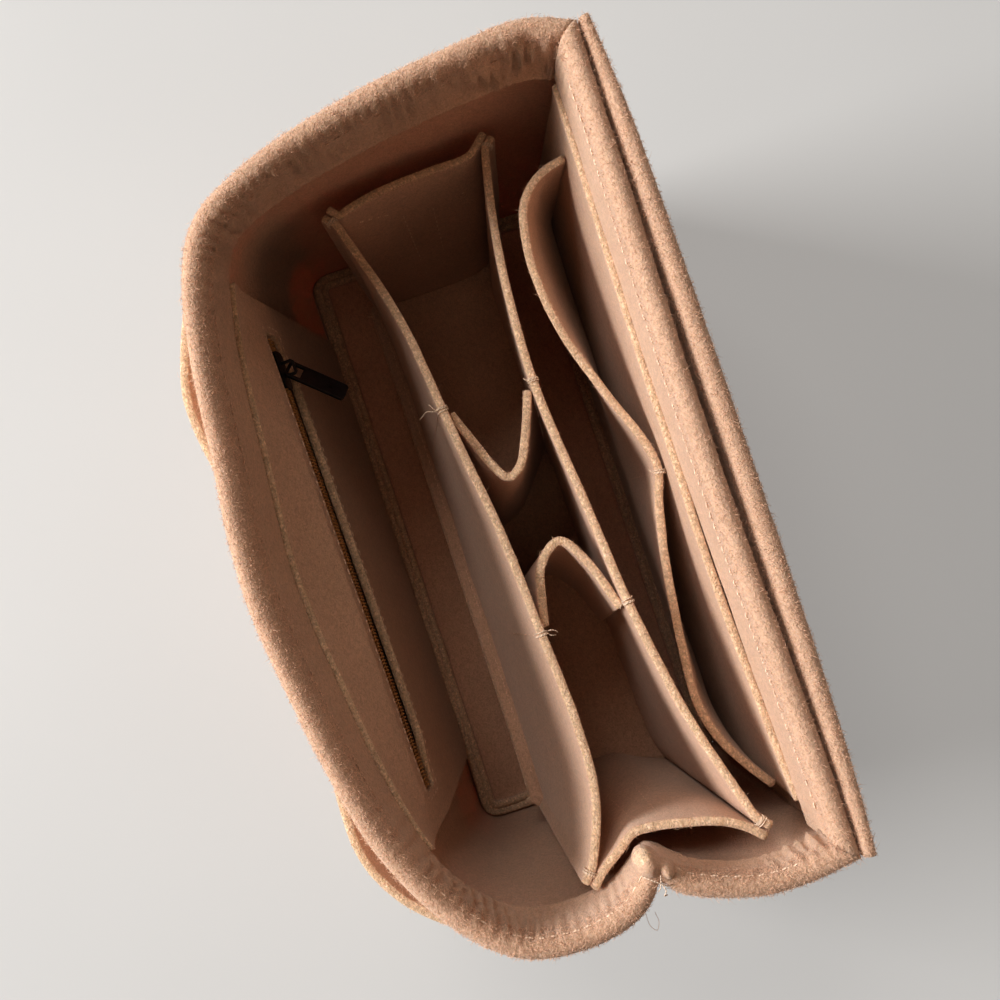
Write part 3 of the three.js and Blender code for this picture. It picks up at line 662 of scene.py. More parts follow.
def add_object(name, points, faces, materials, indices=None):
    mesh = bpy.data.meshes.new(name)
    mesh.from_pydata((np.asarray(points) * MM).tolist(), [], faces)
    for m in materials:
        mesh.materials.append(m)
    if indices is not None:
        mesh.polygons.foreach_set("material_index", np.asarray(indices, dtype=np.int32))
    mesh.polygons.foreach_set("use_smooth", np.full(len(mesh.polygons), True))
    mesh.validate()
    mesh.update()
    return linked(name, mesh)


def block_faces(shape, loop=False):
    """Outer quads of a block of points [u, s, w]; 0 marks cloth and 1 a cut edge."""
    ids = np.full(shape, -1)
    shell = np.zeros(shape, bool)
    shell[:, 0], shell[:, -1], shell[:, :, 0], shell[:, :, -1] = True, True, True, True
    if not loop:
        shell[0], shell[-1] = True, True
    ids[shell] = np.arange(shell.sum())
    if loop:
        ids = np.concatenate([ids, ids[:1]], axis=0)
    quads, kinds = [], []

    def grid(layer, turned, kind):
        a, b, c, d = layer[:-1, :-1], layer[1:, :-1], layer[1:, 1:], layer[:-1, 1:]
        q = np.stack([a, b, c, d] if turned else [a, d, c, b], axis=-1).reshape(-1, 4)
        quads.append(q)
        kinds.append(np.full(len(q), kind))

    grid(ids[:, :, -1], True, 0)
    grid(ids[:, :, 0], False, 0)
    grid(ids[:, 0, :], True, 1)
    grid(ids[:, -1, :], False, 1)
    if not loop:
        grid(ids[0], False, 1)
        grid(ids[-1], True, 1)
    return shell, np.vstack(quads), np.concatenate(kinds)


def ring_faces(rings, sides):
    """Quads round a row of closed rings, and a face on each end."""
    faces = []
    for i in range(0, (rings - 1) * sides, sides):
        for j in range(sides):
            k = (j + 1) % sides
            faces.append((i + j, i + k, i + sides + k, i + sides + j))
    ends = [range(sides - 1, -1, -1), range((rings - 1) * sides, rings * sides)]
    return faces + [tuple(end) for end in ends]


def volume_sign(points, quads):
    a, b, c, d = (points[quads[:, k]] for k in range(4))
    return np.sum(a * np.cross(b, c)) + np.sum(a * np.cross(c, d))


def block_object(name, block, materials, loop=False):
    shell, quads, kinds = block_faces(block.shape[:3], loop)
    points = block[shell]
    if volume_sign(points, quads) < 0:
        quads = quads[:, ::-1]
    return add_object(name, points, quads.tolist(), materials, kinds)


def slab(base, axis, thick, drift):
    """A sheet of points [u, s, xyz], thickened along one axis into a block."""
    block = np.repeat(base[:, :, None, :], len(ACROSS), axis=2)
    block[..., axis] += (ACROSS + 1) / 2 * thick + drift[:, :, None]
    return block


def upright(count, foot, top, offset=FELT / 2, step=2.2):
    """Centreline of a plain panel, with rows close to both cut edges."""
    rows = np.linspace(foot, top, max(2, int((top - foot) / step) + 1))
    near = np.array([0.25, 0.8])
    z = np.sort(np.concatenate([rows, foot + near, top - near]))
    return np.broadcast_to(np.stack([np.full_like(z, offset), z], axis=1), (count, len(z), 2))


def hemmed(count, share=1.0, depth=HEM_DEPTH):
    """Centreline of a wall with its folded hem; share makes the fold tighter."""
    share = np.broadcast_to(np.asarray(share, float), (count,))[:, None]
    radius = (HEM - FELT) / 2 * share
    half = FELT / 2
    crest = HEIGHT - half - radius
    t_up = np.concatenate([[0, 0.002, 0.006], np.linspace(0.016, 1, 66)])[None, :]
    up = np.stack([half + 0 * t_up * share, crest * t_up], axis=-1)
    angle = np.linspace(math.pi, 0, 11)[None, :]
    fold = np.stack(
        [half + radius + radius * np.cos(angle), crest + radius * np.sin(angle)], axis=-1
    )
    t_down = np.concatenate([np.linspace(0, 0.94, 15), [0.975, 0.99, 1.0]])[None, :]
    foot = HEIGHT - np.broadcast_to(np.asarray(depth, float), (count,))[:, None]
    down = np.stack([half + 2 * radius + 0 * t_down, crest + (foot - crest) * t_down], axis=-1)
    return np.concatenate([up, fold[:, 1:], down[:, 1:]], axis=1)


def cloth_block(wall, centre, wave=0.22, seed=1, extra=None):
    """Thickens a centreline [station, row, (offset, z)] into a block of points."""
    tangent = unit(np.gradient(centre, axis=1))
    normal = np.stack([tangent[..., 1], -tangent[..., 0]], axis=-1)
    base = wall.points(centre[..., 0], centre[..., 1])
    swell = 1 + 0.05 * wander(base, 11, seed + 3)
    drift = wave * wander(base, 26, seed) + 0.3 * wave * wander(base, 7, seed + 1)
    reach = (ACROSS * (FELT / 2))[:, None] * swell[:, :, None, None] + drift[:, :, None, None]
    flat = centre[:, :, None, :] + normal[:, :, None, :] * reach
    ragged = 0.16 * wander(base, 1.7, seed + 5)
    corners = np.abs(ACROSS) > 0.9
    for row, sign in ((0, -1), (-1, 1)):
        side = normal[:, row, None, :]
        push = sign * (EDGE_BULGE * ROUND[None, :] + ragged[:, row, None])
        flat[:, row] += tangent[:, row, None, :] * push[..., None]
        inward = centre[:, row, None, :] - flat[:, row]
        pull = side * np.sum(inward * side, axis=-1, keepdims=True)
        flat[:, row][:, corners] += 0.12 * pull[:, corners]
    if extra is not None:
        extra(flat, base, normal, centre)
    block = wall.points(flat[..., 0], flat[..., 1])
    for end, near in ((0, 1), (-1, -2)):
        block[end] += unit(block[end] - block[near]) * END_BULGE * ROUND[None, :, None]
    return block


EDGES = []


def dress(obj, body, slot, node=None, **sheet):
    """A piece's body and the node that it replaces; slot and the cloth's flat size are not used.
    """
    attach(obj, body)
    if node:
        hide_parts(node)


def finish_felt(obj, body, node, flat, held, rests, area=None):
    dress(obj, body, body + "_felt", node, flat=flat, held=held, rests_on=rests, area=area)


def felt_piece(name, block, node, flat, held, rests, body="tub", fibres=0):
    """A felt panel made of a block; its cut top edge gets this many loose fibres."""
    if fibres:
        EDGES.append((block, body, fibres))
    obj = block_object(name, block, TUB if body == "tub" else BASKET)
    finish_felt(obj, body, node, flat, held, rests)


# ---------------------------------------------------------------- bends of the hem
ON_HEM = FELT + 0.4
HEM_STITCH_Z, FRONT_STITCH_Z, END_STITCH_Z = 150.5, 152.0, 158.0
STITCH_PITCH = 3.6
GATHER_PITCH, GATHER_DEPTH, GATHER_TOP, GATHER_LIMIT = 3.9, 1.35, 1.5, 0.3
FLARE, FLARE_MINUS_SHARE, FLARE_HEIGHT = 1.4, 0.45, 9
BACK_FROM_STATION, BACK_TO_STATION, PLEAT_STATION = 15.0, 44.5, 58.2
SHORT_HEM = 11
# coarse station, width and height of each group of wrinkles
WRAP_GATHERS = [
    (2.0, 2.8, 1.9), (8, 5, 1.4), (15.5, 3.4, 1.3), (44.5, 4.5, 1.0), (55.0, 1.5, 0.3),
    (59.0, 1.5, 0.12), (66.0, 1.8, 1.25), (30, 60, 0.16),
]
FRONT_GATHERS = [(0, 2, 0.5), (28, 2, 0.5), (14, 40, 0.1)]

wrap_wall = Wall(wrap_low, wrap_high, 0, HEIGHT)
front_wall = Wall(front_low, front_high, 0, HEIGHT, 5)
wrap_station = np.arange(wrap_wall.count) / wrap_wall.factor


def bell(x, middle, width):
    return np.exp(-(((x - middle) / width) ** 2))


def past(x, mark, width):
    """Goes from 0 to 1 as x passes a mark, and back where the width is negative."""
    return 1 / (1 + np.exp((mark - x) / width))


def gather(wall, spots):
    """Wrinkles of the hem where it was eased round a corner."""
    station = np.arange(wall.count) / wall.factor
    strength = sum(height * bell(station, middle, width) for middle, width, height in spots)

    def bend(flat, base, normal, centre):
        below = HEIGHT - GATHER_TOP - centre[..., 1]
        t = np.clip(below / (HEM_DEPTH - GATHER_TOP), 0, 1)
        phase = 2 * math.pi * wall.far[:, None] / GATHER_PITCH
        phase = phase + 2.2 * wander(base, 13, 21) + 0.25 * t
        ripple = np.sin(phase) + 0.35 * np.sin(2.3 * phase + 1.1)
        shape = np.sin(math.pi * np.clip(t, 0.02, 1) ** 0.7) ** 0.6
        hem = (centre[..., 0] > ON_HEM) & (below > 0)
        move = GATHER_DEPTH * strength[:, None] * ripple * shape * hem
        flat[..., 0] -= np.minimum(move, GATHER_LIMIT)[:, :, None]

    return bend


def flare(flat, base, normal, centre):
    """The lower edge of the wrap's hem stands off both end walls."""
    ends = past(wrap_station, BACK_FROM_STATION, -0.7)
    ends = ends + FLARE_MINUS_SHARE * past(wrap_station, BACK_TO_STATION, 0.7)
    near = np.clip(1 - (centre[..., 1] - centre[:, -1:, 1]) / FLARE_HEIGHT, 0, 1) ** 2
    flat[..., 0] += FLARE * (near * (centre[..., 0] > ON_HEM) * ends[:, None])[:, :, None]


def dimple(wall, z, hem=True, depth=0.32):
    """The line of stitches pulls the felt down a little, on the hem or on the wall."""

    def bend(flat, base, normal, centre):
        layer = (centre[..., 0] > ON_HEM) if hem else (centre[..., 0] < ON_HEM)
        near = bell(centre[..., 1], z, 0.9) * layer
        pull = 0.55 + 0.45 * np.cos(2 * math.pi * wall.far / STITCH_PITCH)[:, None]
        amount = (depth * near * pull)[:, :, None, None]
        flat[..., ACROSS < 0, :] += amount * normal[:, :, None, :]

    return bend


def lean_in(top, depth, reach):
    """The top edge stands off the wall a little."""

    def bend(flat, base, normal, centre):
        near = np.clip((centre[..., 1] - top + depth) / depth, 0, 1) ** 2
        flat[..., 0] += reach * near[:, :, None]

    return bend


def both(*bends):
    def bend(*given):
        for one in bends:
            one(*given)

    return bend


# ---------------------------------------------------------------- the tub's walls
wrap_hem_depth = HEM_DEPTH - SHORT_HEM * past(wrap_station, PLEAT_STATION, 0.35)
wrap_block = cloth_block(
    wrap_wall,
    hemmed(wrap_wall.count, depth=wrap_hem_depth),
    extra=both(gather(wrap_wall, WRAP_GATHERS), flare, dimple(wrap_wall, HEM_STITCH_Z)),
)
felt_piece("wrap_cloth", wrap_block, "wrap_panel", (0.5, 0.187), "folded", ["floor_cloth"])
front_block = cloth_block(
    front_wall,
    hemmed(front_wall.count),
    seed=9,
    extra=both(gather(front_wall, FRONT_GATHERS), dimple(front_wall, FRONT_STITCH_Z)),
)
felt_piece("front_cloth", front_block, "front_panel", (0.266, 0.187), "folded", ["floor_cloth"])

slip_low = Rail(front_low.path - [0, FELT + FIT])
slip_gap = FELT + 3 * FIT + SLIP_BULGE_SHARE * HALF_WIDTH * np.sin(math.pi * front_share) ** 0.75
slip_high = Rail(front_high.path - np.stack([0 * slip_gap, slip_gap], axis=1))
slip_wall = Wall(slip_low, slip_high, 0, HEIGHT, 5)
slip_share = np.minimum(1, 0.75 * (slip_gap - FIT - FELT) / (HEM - FELT))
slip_fine = np.interp(
    np.linspace(0, FRONT_STEPS, slip_wall.count), np.arange(FRONT_STEPS + 1), slip_share
)
slip_block = cloth_block(
    slip_wall,
    hemmed(slip_wall.count, np.maximum(slip_fine, 0.02)),
    seed=17,
    extra=dimple(slip_wall, FRONT_STITCH_Z, hem=False, depth=0.3),
)
felt_piece(
    "slip_pocket_cloth", slip_block, "front_slip_pocket", (0.266, 0.187), "folded",
    ["front_cloth"],
)


# ---------------------------------------------------------------- floor
LIP = FELT + SEAM_GAP
FLOOR_POINTS = 420
# inset beyond the lip and height of each ring: from the underside over the sewn ridge
FLOOR_RINGS = [
    (40, 0), (20, 0), (3, 0), (-0.6, 0), (-0.95, 0.5), (-0.95, 2.0), (0, 3.4), (0, 4.6),
    (0, 5.8), (0.25, 6.25), (0.9, 6.4), (1.7, 6.35), (2.4, 6.2), (2.75, 5.7), (3.0, 5.0),
    (3.25, 5.7), (3.6, 6.2), (4.4, 6.4), (5.2, 6.3), (5.8, 5.9), (6.0, 5.2), (6.0, 4.2),
    (6.1, 3.5), (6.6, 3.1), (8, 3.0), (12, 3.0), (18, 3.0), (26, 3.0), (36, 3.0), (45, 3.0),
]
RAW_RINGS = range(8, 21)
TOP_RINGS = slice(23, None)


def rounded_loop(x0, y0, x1, y1, upper, lower, steps, count):
    """The outline of a box with rounded upper and lower corners, evenly walked."""
    points = []
    for quarter, (right, high) in enumerate(((1, 1), (0, 1), (0, 0), (1, 0))):
        radius = upper if high else lower
        x = x1 - radius if right else x0 + radius
        y = y1 - radius if high else y0 + radius
        for k in range(steps + 1):
            a = 90 * (quarter + k / steps) * DEGREE
            points.append([x + radius * math.cos(a), y + radius * math.sin(a)])
    points = np.array(points + points[:1])
    far = lengths(points)
    return at_lengths(np.linspace(0, far[-1], count + 1)[:-1], far, points)


def floor_ring(inset):
    """The floor's outline, inset: round at the back, nearly square at the front."""
    x, y = HALF_LENGTH - inset, HALF_WIDTH - inset
    radius = max(CORNER_RADIUS - inset, FIT)
    return rounded_loop(-x, -y, x, y, radius, min(radius, 1.5), 12, FLOOR_POINTS)


def floor_cloth():
    grid = np.stack([
        np.column_stack([floor_ring(LIP + inset), np.full(FLOOR_POINTS, float(z))])
        for inset, z in FLOOR_RINGS
    ])
    raised = np.clip((grid[..., 2] - 2.6) / 3, 0, 1)
    grid[..., 2] += raised * (0.35 * wander(grid, 9, 31) + 0.18 * wander(grid, 3, 32))
    inner = grid[1:-1]
    shift = np.stack([wander(inner, 14, seed) for seed in (33, 34)], axis=-1)
    grid[1:-1, :, :2] += 0.3 * shift * raised[1:-1, :, None]
    grid[TOP_RINGS, :, 2] += 0.22 * wander(grid[TOP_RINGS], 22, 35)
    points = grid.reshape(-1, 3)
    # the flat middle is closed across by one face below and one above
    faces = ring_faces(len(FLOOR_RINGS), FLOOR_POINTS)
    kinds = [int(i in RAW_RINGS) for i in range(len(FLOOR_RINGS) - 1) for _ in range(FLOOR_POINTS)]
    if volume_sign(points, np.array(faces[:-2])) < 0:
        faces = [f[::-1] for f in faces]
    obj = add_object("floor_cloth", points, faces, TUB, kinds + [0, 0])
    finish_felt(obj, "tub", "floor_panel", (0.262, 0.112), "laid", ["wrap_cloth"])


floor_cloth()


# ---------------------------------------------------------------- faces of walls
def rail_point(low, high, offset, t):
    return lerp(low.path + low.side * offset, high.path + high.side * offset, t)


def face_y(low, high, offset, z, x, back):
    p = rail_point(low, high, offset, z / HEIGHT)
    a, b = p[:-1], p[1:]
    hit = ((a[:, 0] - x) * (b[:, 0] - x) <= 0) & (a[:, 0] != b[:, 0])
    y = a[hit, 1] + (b[hit, 1] - a[hit, 1]) * (x - a[hit, 0]) / (b[hit, 0] - a[hit, 0])
    return y.max() if back else y.min()


def back_y(x, z, offset):
    return face_y(wrap_low, wrap_high, offset, z, x, True)


def front_y(x, z, offset):
    return face_y(front_low, front_high, offset, z, x, False)


def first_y(path, x, outside):
    """y where a plan path first crosses x."""
    for a, b in zip(path[:-1], path[1:]):
        if (a[0] - x) * (b[0] - x) <= 0:
            return lerp(a[1], b[1], (x - a[0]) / (b[0] - a[0]))
    return outside


def against(face, shares, count, foot, top, gap):
    """Low and high rails of a pocket on a face: it touches at its foot and bulges above."""
    bulges = spread(placed(shares), count)
    high = np.array([[x, face(x, top) + gap + bulge] for x, bulge in bulges])
    low = np.array([[x, face(x, foot) + gap] for x, _ in high])
    return Rail(low, -1), Rail(high, -1)


# ---------------------------------------------------------------- pockets of the front wall
inner_foot, inner_top = INNER_FOOT_SHARE * HEIGHT, INNER_TOP_SHARE * HEIGHT
inner_low, inner_high = against(
    lambda x, z: front_y(x, z, FELT), INNER_BULGE_SHARES, 30, inner_foot, inner_top, FIT
)
inner_wall = Wall(inner_low, inner_high, inner_foot, inner_top, 5)
inner_block = cloth_block(
    inner_wall,
    upright(inner_wall.count, inner_foot, inner_top + 0.75),
    seed=23,
    extra=lean_in(inner_top, 12, 0.9),
)
felt_piece(
    "inner_pocket_cloth", inner_block, "front_inner_pocket", (0.246, 0.124), "stretched",
    ["front_cloth"], fibres=500,
)


def inner_face(x, z):
    t = (z - inner_foot) / (inner_top - inner_foot)
    path = rail_point(inner_low, inner_high, FELT, t)
    return first_y(path, x, path[0][1])


pair_foot, pair_top = PAIR_FOOT_SHARE * HEIGHT, PAIR_TOP_SHARE * HEIGHT
pair_low, pair_high = against(inner_face, PAIR_SHARES, 52, pair_foot, pair_top, 2 * FIT)
pair_wall = Wall(pair_low, pair_high, pair_foot, pair_top, 3)
pair_block = cloth_block(
    pair_wall, upright(pair_wall.count, pair_foot, pair_top, step=1.6), seed=29, wave=0.3
)
felt_piece(
    "pocket_pair_cloth", pair_block, "front_pocket_pair", (0.255, 0.068), "stretched",
    ["inner_pocket_cloth"], fibres=900,
)

# ---------------------------------------------------------------- outer pockets at the back
out_foot, out_top = BACK_FOOT_SHARE * HEIGHT, BACK_TOP_SHARE * HEIGHT
lobes = spread(BACK_LOBE_SHARES, BACK_TO - BACK_FROM)[:, 1]


def out_rail(z, bulges):
    points = [
        rail_point(wrap_low, wrap_high, -3 * FIT - bulge * HALF_WIDTH, z / HEIGHT)[BACK_FROM + k]
        for k, bulge in enumerate(bulges)
    ]
    return Rail(points, -1)


out_wall = Wall(
    out_rail(out_foot, 0 * lobes), out_rail(out_top, np.maximum(lobes, 0)), out_foot, out_top, 5
)
out_block = cloth_block(
    out_wall, upright(out_wall.count, out_foot, out_top), seed=37, wave=0.3
)
felt_piece(
    "back_pocket_cloth", out_block, "back_outer_pocket", (0.305, 0.072), "stretched",
    ["wrap_cloth"], fibres=500,
)

# ---------------------------------------------------------------- zip panel with its slot
SLOT_X, SLOT_Z = ZIP_SLOT_LENGTH / 2, ZIP_SLOT_WIDTH / 2
SLOT_RADIUS, SLOT_RISE, SLOT_POINTS = 3, 1.0, 400
LIP_REACH, LIP_FADE, LIP_BEGINS = 1.7, 9.0, -3
PANEL_LEAN, PANEL_LEAN_HEIGHT, PANEL_RISE = 1.7, 16, 2.4
zip_z, zip_y = ZIP_SHARE * HEIGHT, ZIP_Y_SHARE * HALF_WIDTH
rz, rx = ZIP_SKEW * DEGREE, -ZIP_LEAN * DEGREE
turn_z = np.array(
    [[math.cos(rz), -math.sin(rz), 0], [math.sin(rz), math.cos(rz), 0], [0, 0, 1]]
)
turn_x = np.array(
    [[1, 0, 0], [0, math.cos(rx), -math.sin(rx)], [0, math.sin(rx), math.cos(rx)]]
)
zip_frame = np.eye(4)
zip_frame[:3, :3] = turn_z @ turn_x
zip_frame[:3, 3] = [0, zip_y, zip_z]
band_half = ZIP_BAND_SHARE * HEIGHT
panel_foot, panel_top = ZIP_PANEL_FOOT_SHARE * HEIGHT, HEIGHT - HEM_DEPTH - FELT
panel_half = SLOT_X + 4 * FELT


def plane_y(x, z):
    return zip_y + x * math.tan(rz) - (z - zip_z) * math.tan(rx)


def zip_surface():
    """y of the panel's inner face over x and z, from four rows of heights."""
    xs = np.linspace(-panel_half, panel_half, 81)
    zs = [panel_foot, zip_z - band_half, zip_z + band_half, panel_top]

    def panel_y(x, z, band):
        sewn = back_y(x, z, FELT) - 2 * FIT - FELT
        return min(plane_y(x, z), sewn) if band else sewn

    table = [[panel_y(x, z, k in (1, 2)) for x in xs] for k, z in enumerate(zs)]

    def at(x, z):
        rows = [np.interp(x, xs, row) for row in table]
        y = 0
        for k in range(3):
            t = (z - zs[k]) / (zs[k + 1] - zs[k])
            y = np.where((z >= zs[k]) | (k == 0), lerp(rows[k], rows[k + 1], t), y)
        return y

    return at


zip_at = zip_surface()


def slot_lip(x, z):
    """How far the felt below the slot stands forward of the flat panel."""
    below = zip_z - SLOT_Z - z
    down = np.exp(-np.clip(below, 0, None) / LIP_FADE) * (below > LIP_BEGINS)
    ends = np.clip((SLOT_X - 4 - np.abs(x)) / 16, 0, 1)
    return LIP_REACH * down * ends * ends * (3 - 2 * ends)


def slot_targets(loop):
    """Where on the panel's outer edge each point round the slot is led to."""
    targets = []
    straight = SLOT_X - SLOT_RADIUS
    for x, z in loop:
        if abs(z - zip_z) >= 0.6 * SLOT_Z and abs(x) - straight < 2.2:
            edge = panel_top if z > zip_z else panel_foot
            targets.append([x / straight * (panel_half - 6), edge])
        else:
            targets.append([math.copysign(panel_half, x), zip_z + (z - zip_z) / SLOT_Z * 60])
    low, high = [-panel_half, panel_foot], [panel_half, panel_top]
    smooth = np.clip(targets, low, high)
    for _ in range(3):
        smooth = (np.roll(smooth, 1, 0) + smooth * 2 + np.roll(smooth, -1, 0)) / 4
    smooth = np.clip(smooth, low, high)
    x, z = smooth.T
    far_x, far_z = np.minimum(abs(smooth - low), abs(smooth - high)).T
    side = far_x < far_z
    return np.stack([
        np.where(side, np.copysign(panel_half, x), x),
        np.where(side, z, np.where(z > zip_z, panel_top, panel_foot)),
    ], axis=1)


def zip_panel():
    slot = rounded_loop(
        -SLOT_X, -SLOT_Z, SLOT_X, SLOT_Z + SLOT_RISE, SLOT_RADIUS, SLOT_RADIUS, 8, SLOT_POINTS
    )
    # the slot's outline as the wall sees it: x along, z up, from the leaning frame
    loop = np.stack([slot[:, 0] * math.cos(rz), zip_z + slot[:, 1] * math.cos(rx)], axis=1)
    ways = np.concatenate([[0, 0.006, 0.02, 0.045], np.linspace(0.08, 0.97, 24), [0.988, 1.0]])
    flat = lerp(loop[:, None, :], slot_targets(loop)[:, None, :], ways[None, :, None])
    x, z = flat[..., 0], flat[..., 1]
    near_top = np.clip((z - panel_top + PANEL_LEAN_HEIGHT) / PANEL_LEAN_HEIGHT, 0, 1)
    y = zip_at(x, z) - slot_lip(x, z) - PANEL_LEAN * near_top**2
    base = np.stack([x, y, z + PANEL_RISE * near_top**3], axis=-1)
    block = slab(base, 1, FELT, 0.12 * wander(base, 24, 41) + 0.06 * wander(base, 6, 42))
    ragged = 0.12 * wander(base, 1.6, 43)
    for row, near in ((0, 1), (-1, -2)):
        away = base[:, row] - base[:, near]
        away[:, 1] = 0
        push = EDGE_BULGE * ROUND[None, :, None] + ragged[:, row, None, None]
        block[:, row] += unit(away)[:, None, :] * push
    obj = block_object("zip_panel_cloth", block, TUB, loop=True)
    finish_felt(
        obj, "tub", "zip_pocket_panel", (0.194, 0.124), "stretched", ["wrap_cloth"], 0.022
    )


zip_panel()


# ---------------------------------------------------------------- the basket
pivot_x = PIVOT_SHARE * HALF_LENGTH
tilt = BASKET_TILT * DEGREE
basket_frame = np.eye(4)
basket_frame[:3, :3] = [
    [math.cos(tilt), 0, math.sin(tilt)], [0, 1, 0], [-math.sin(tilt), 0, math.cos(tilt)]
]
basket_frame[:3, 3] = np.array([pivot_x, 0, FELT + FIT + BASKET_RISE_SHARE * CORNER_RADIUS]) - (
    basket_frame[:3, :3] @ [pivot_x, 0, 0]
)
basket_foot = FELT + FIT


def panel_rail(shares, count):
    path = spread(placed(shares, HALF_LENGTH, HALF_WIDTH), count)

    def turned(tip, sign):
        e = np.sign(tip) * math.sqrt(0.5)
        root = tip + np.array([-sign * e[1], sign * e[0]]) * FIT
        return root, root + e * CORNER_FLANGE

    start_root, start_tip = turned(path[0], 1)
    end_root, end_tip = turned(path[-1], -1)
    return Rail(np.vstack([[start_tip], [start_root], path[1:-1], [end_root], [end_tip]]), -1)


basket_rails, basket_walls = {}, {}
for side, node, low_shares, top_shares, count, length, seed in (
    ("back", "basket_back_panel", BASKET_BACK_LOW, BASKET_BACK_TOP, 34, 0.25, 51),
    ("front", "basket_front_panel", BASKET_FRONT_LOW, BASKET_FRONT_TOP, 34, 0.25, 53),
    ("plus", "basket_end_plus", BASKET_PLUS_LOW, BASKET_PLUS_TOP, 12, 0.07, 57),
    ("minus", "basket_end_minus", BASKET_MINUS_LOW, BASKET_MINUS_TOP, 16, 0.08, 59),
):
    rails = panel_rail(low_shares, count), panel_rail(top_shares, count)
    wall = Wall(*rails, 0, BASKET_HEIGHT, 4, basket_frame)
    basket_rails[side], basket_walls[side] = rails, wall
    centre = upright(wall.count, basket_foot, BASKET_HEIGHT, step=2.0)
    block = place(cloth_block(wall, centre, seed=seed, wave=0.3), basket_frame)
    felt_piece(
        "basket_%s_cloth" % side, block, node, (length, 0.099), "stretched",
        ["basket_floor_cloth"], "basket", 16 * len(block) // 5,
    )


def basket_flange():
    """The back panel's foot, turned outwards over the floor's edge."""
    wall = basket_walls["back"]
    middle = np.linspace(FELT + 0.2, BASKET_FLANGE - 0.5, 6)
    offsets = np.concatenate([[FELT - 0.4], middle, [BASKET_FLANGE]])
    centre = np.stack([offsets, np.full_like(offsets, basket_foot + FELT / 2)], axis=1)
    centre = np.broadcast_to(centre, (wall.count, len(offsets), 2))
    block = place(cloth_block(wall, centre, seed=61, wave=0.25), basket_frame)
    dress(block_object("basket_flange_cloth", block, BASKET), "basket", "basket_felt")


def basket_floor():
    """A patch between the four lower edges of the basket's panels."""
    nu, nv = 120, 34
    back = spread(placed(BASKET_BACK_LOW), nu) + [0, BASKET_FLANGE]
    front = spread(placed(BASKET_FRONT_LOW), nu)[::-1] - [0, FELT]
    minus = spread(placed(BASKET_MINUS_LOW), nv) - [FELT, 0]
    plus = spread(placed(BASKET_PLUS_LOW), nv)[::-1] + [FELT, 0]
    u = np.linspace(0, 1, nu + 1)[:, None, None]
    v = np.linspace(0, 1, nv + 1)[None, :, None]
    across = lerp(back[:, None], front[:, None], v) + lerp(plus[None], minus[None], u)
    corners = lerp(
        lerp((back[0] + plus[0]) / 2, (back[-1] + minus[0]) / 2, u),
        lerp((front[0] + plus[-1]) / 2, (front[-1] + minus[-1]) / 2, u),
        v,
    )
    base = np.concatenate([across - corners, np.zeros((nu + 1, nv + 1, 1))], axis=-1)
    block = place(slab(base, 2, FELT, 0.2 * wander(base, 20, 63)), basket_frame)
    felt_piece(
        "basket_floor_cloth", block, "basket_floor", (0.235, 0.06), "laid", ["floor_cloth"],
        "basket",
    )


basket_flange()
basket_floor()

divider_top = BASKET_HEIGHT - FELT - 1.6
divider_keep = FELT / 2 - 0.2


def basket_face(side, x, z):
    path = rail_point(*basket_rails[side], 0, z / BASKET_HEIGHT)[1:-1]
    return first_y(path, x, 0)


def divider(title, node, shares, seed):
    """A curved panel whose rails run from the basket's front to its back."""

    def rail(z):
        points = []
        for share, t in shares:
            x = share * HALF_LENGTH
            front = basket_face("front", x, z) + divider_keep
            back = basket_face("back", x, z) - divider_keep
            points.append([x, lerp(front, back, t)])
        return Rail(spread(points, 24))

    wall = Wall(rail(0), rail(BASKET_HEIGHT), 0, BASKET_HEIGHT, 4, basket_frame)
    centre = upright(wall.count, basket_foot, divider_top, 0.0, 2.0)
    block = place(cloth_block(wall, centre, seed=seed, wave=0.25), basket_frame)
    felt_piece(
        title, block, node, (0.062, 0.094), "stretched",
        ["basket_back_cloth", "basket_front_cloth"], "basket", 260,
    )


divider("divider_a_cloth", "basket_divider_a", DIVIDER_A, 67)
divider("divider_b_cloth", "basket_divider_b", DIVIDER_B, 71)


# ---------------------------------------------------------------- threads and stitches
STITCH_LENGTH, STITCH_STEPS, STITCH_STRAY = 2.4, 6, 0.12
STITCH_ARCH, STITCH_SINK, SEAM_STEPS = 0.34, 0.2, 60
TACK_THREAD, TACK_SPACING, TACK_LEAN = 0.2, 0.11, 0.12
# offset of a line of stitches on a face, and the step from it out of the cloth
INSIDE, OUTSIDE = (FELT - 0.1, 0.5), (0.1, -0.5)
BACK, FRONT, PLUS, MINUS = (basket_walls[side] for side in ("back", "front", "plus", "minus"))


def tube(path, radius, sides=8):
    """Points and faces of a round thread along a path."""
    path = np.asarray(path, float)
    tangent = unit(np.gradient(path, axis=0))
    a = unit(np.cross(tangent, [0.13, 0.21, 0.97]))
    b = np.cross(tangent, a)
    radius = np.broadcast_to(radius, (len(path),))
    angle = (np.arange(sides) / sides * 2 * math.pi)[None, :, None]
    ring = np.cos(angle) * a[:, None, :] + np.sin(angle) * b[:, None, :]
    points = path[:, None, :] + radius[:, None, None] * ring
    return points.reshape(-1, 3), ring_faces(len(path), sides)


def joined(parts):
    """Several pairs of points and faces as one."""
    points, faces, start = [], [], 0
    for p, f in parts:
        points.append(p)
        faces.extend(tuple(i + start for i in face) for face in f)
        start += len(p)
    return np.vstack(points), faces


def merged(name, parts, material, body):
    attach(add_object(name, *joined(parts), [material]), body)


def body_of(wall):
    return "tub" if wall.matrix is None else "basket"


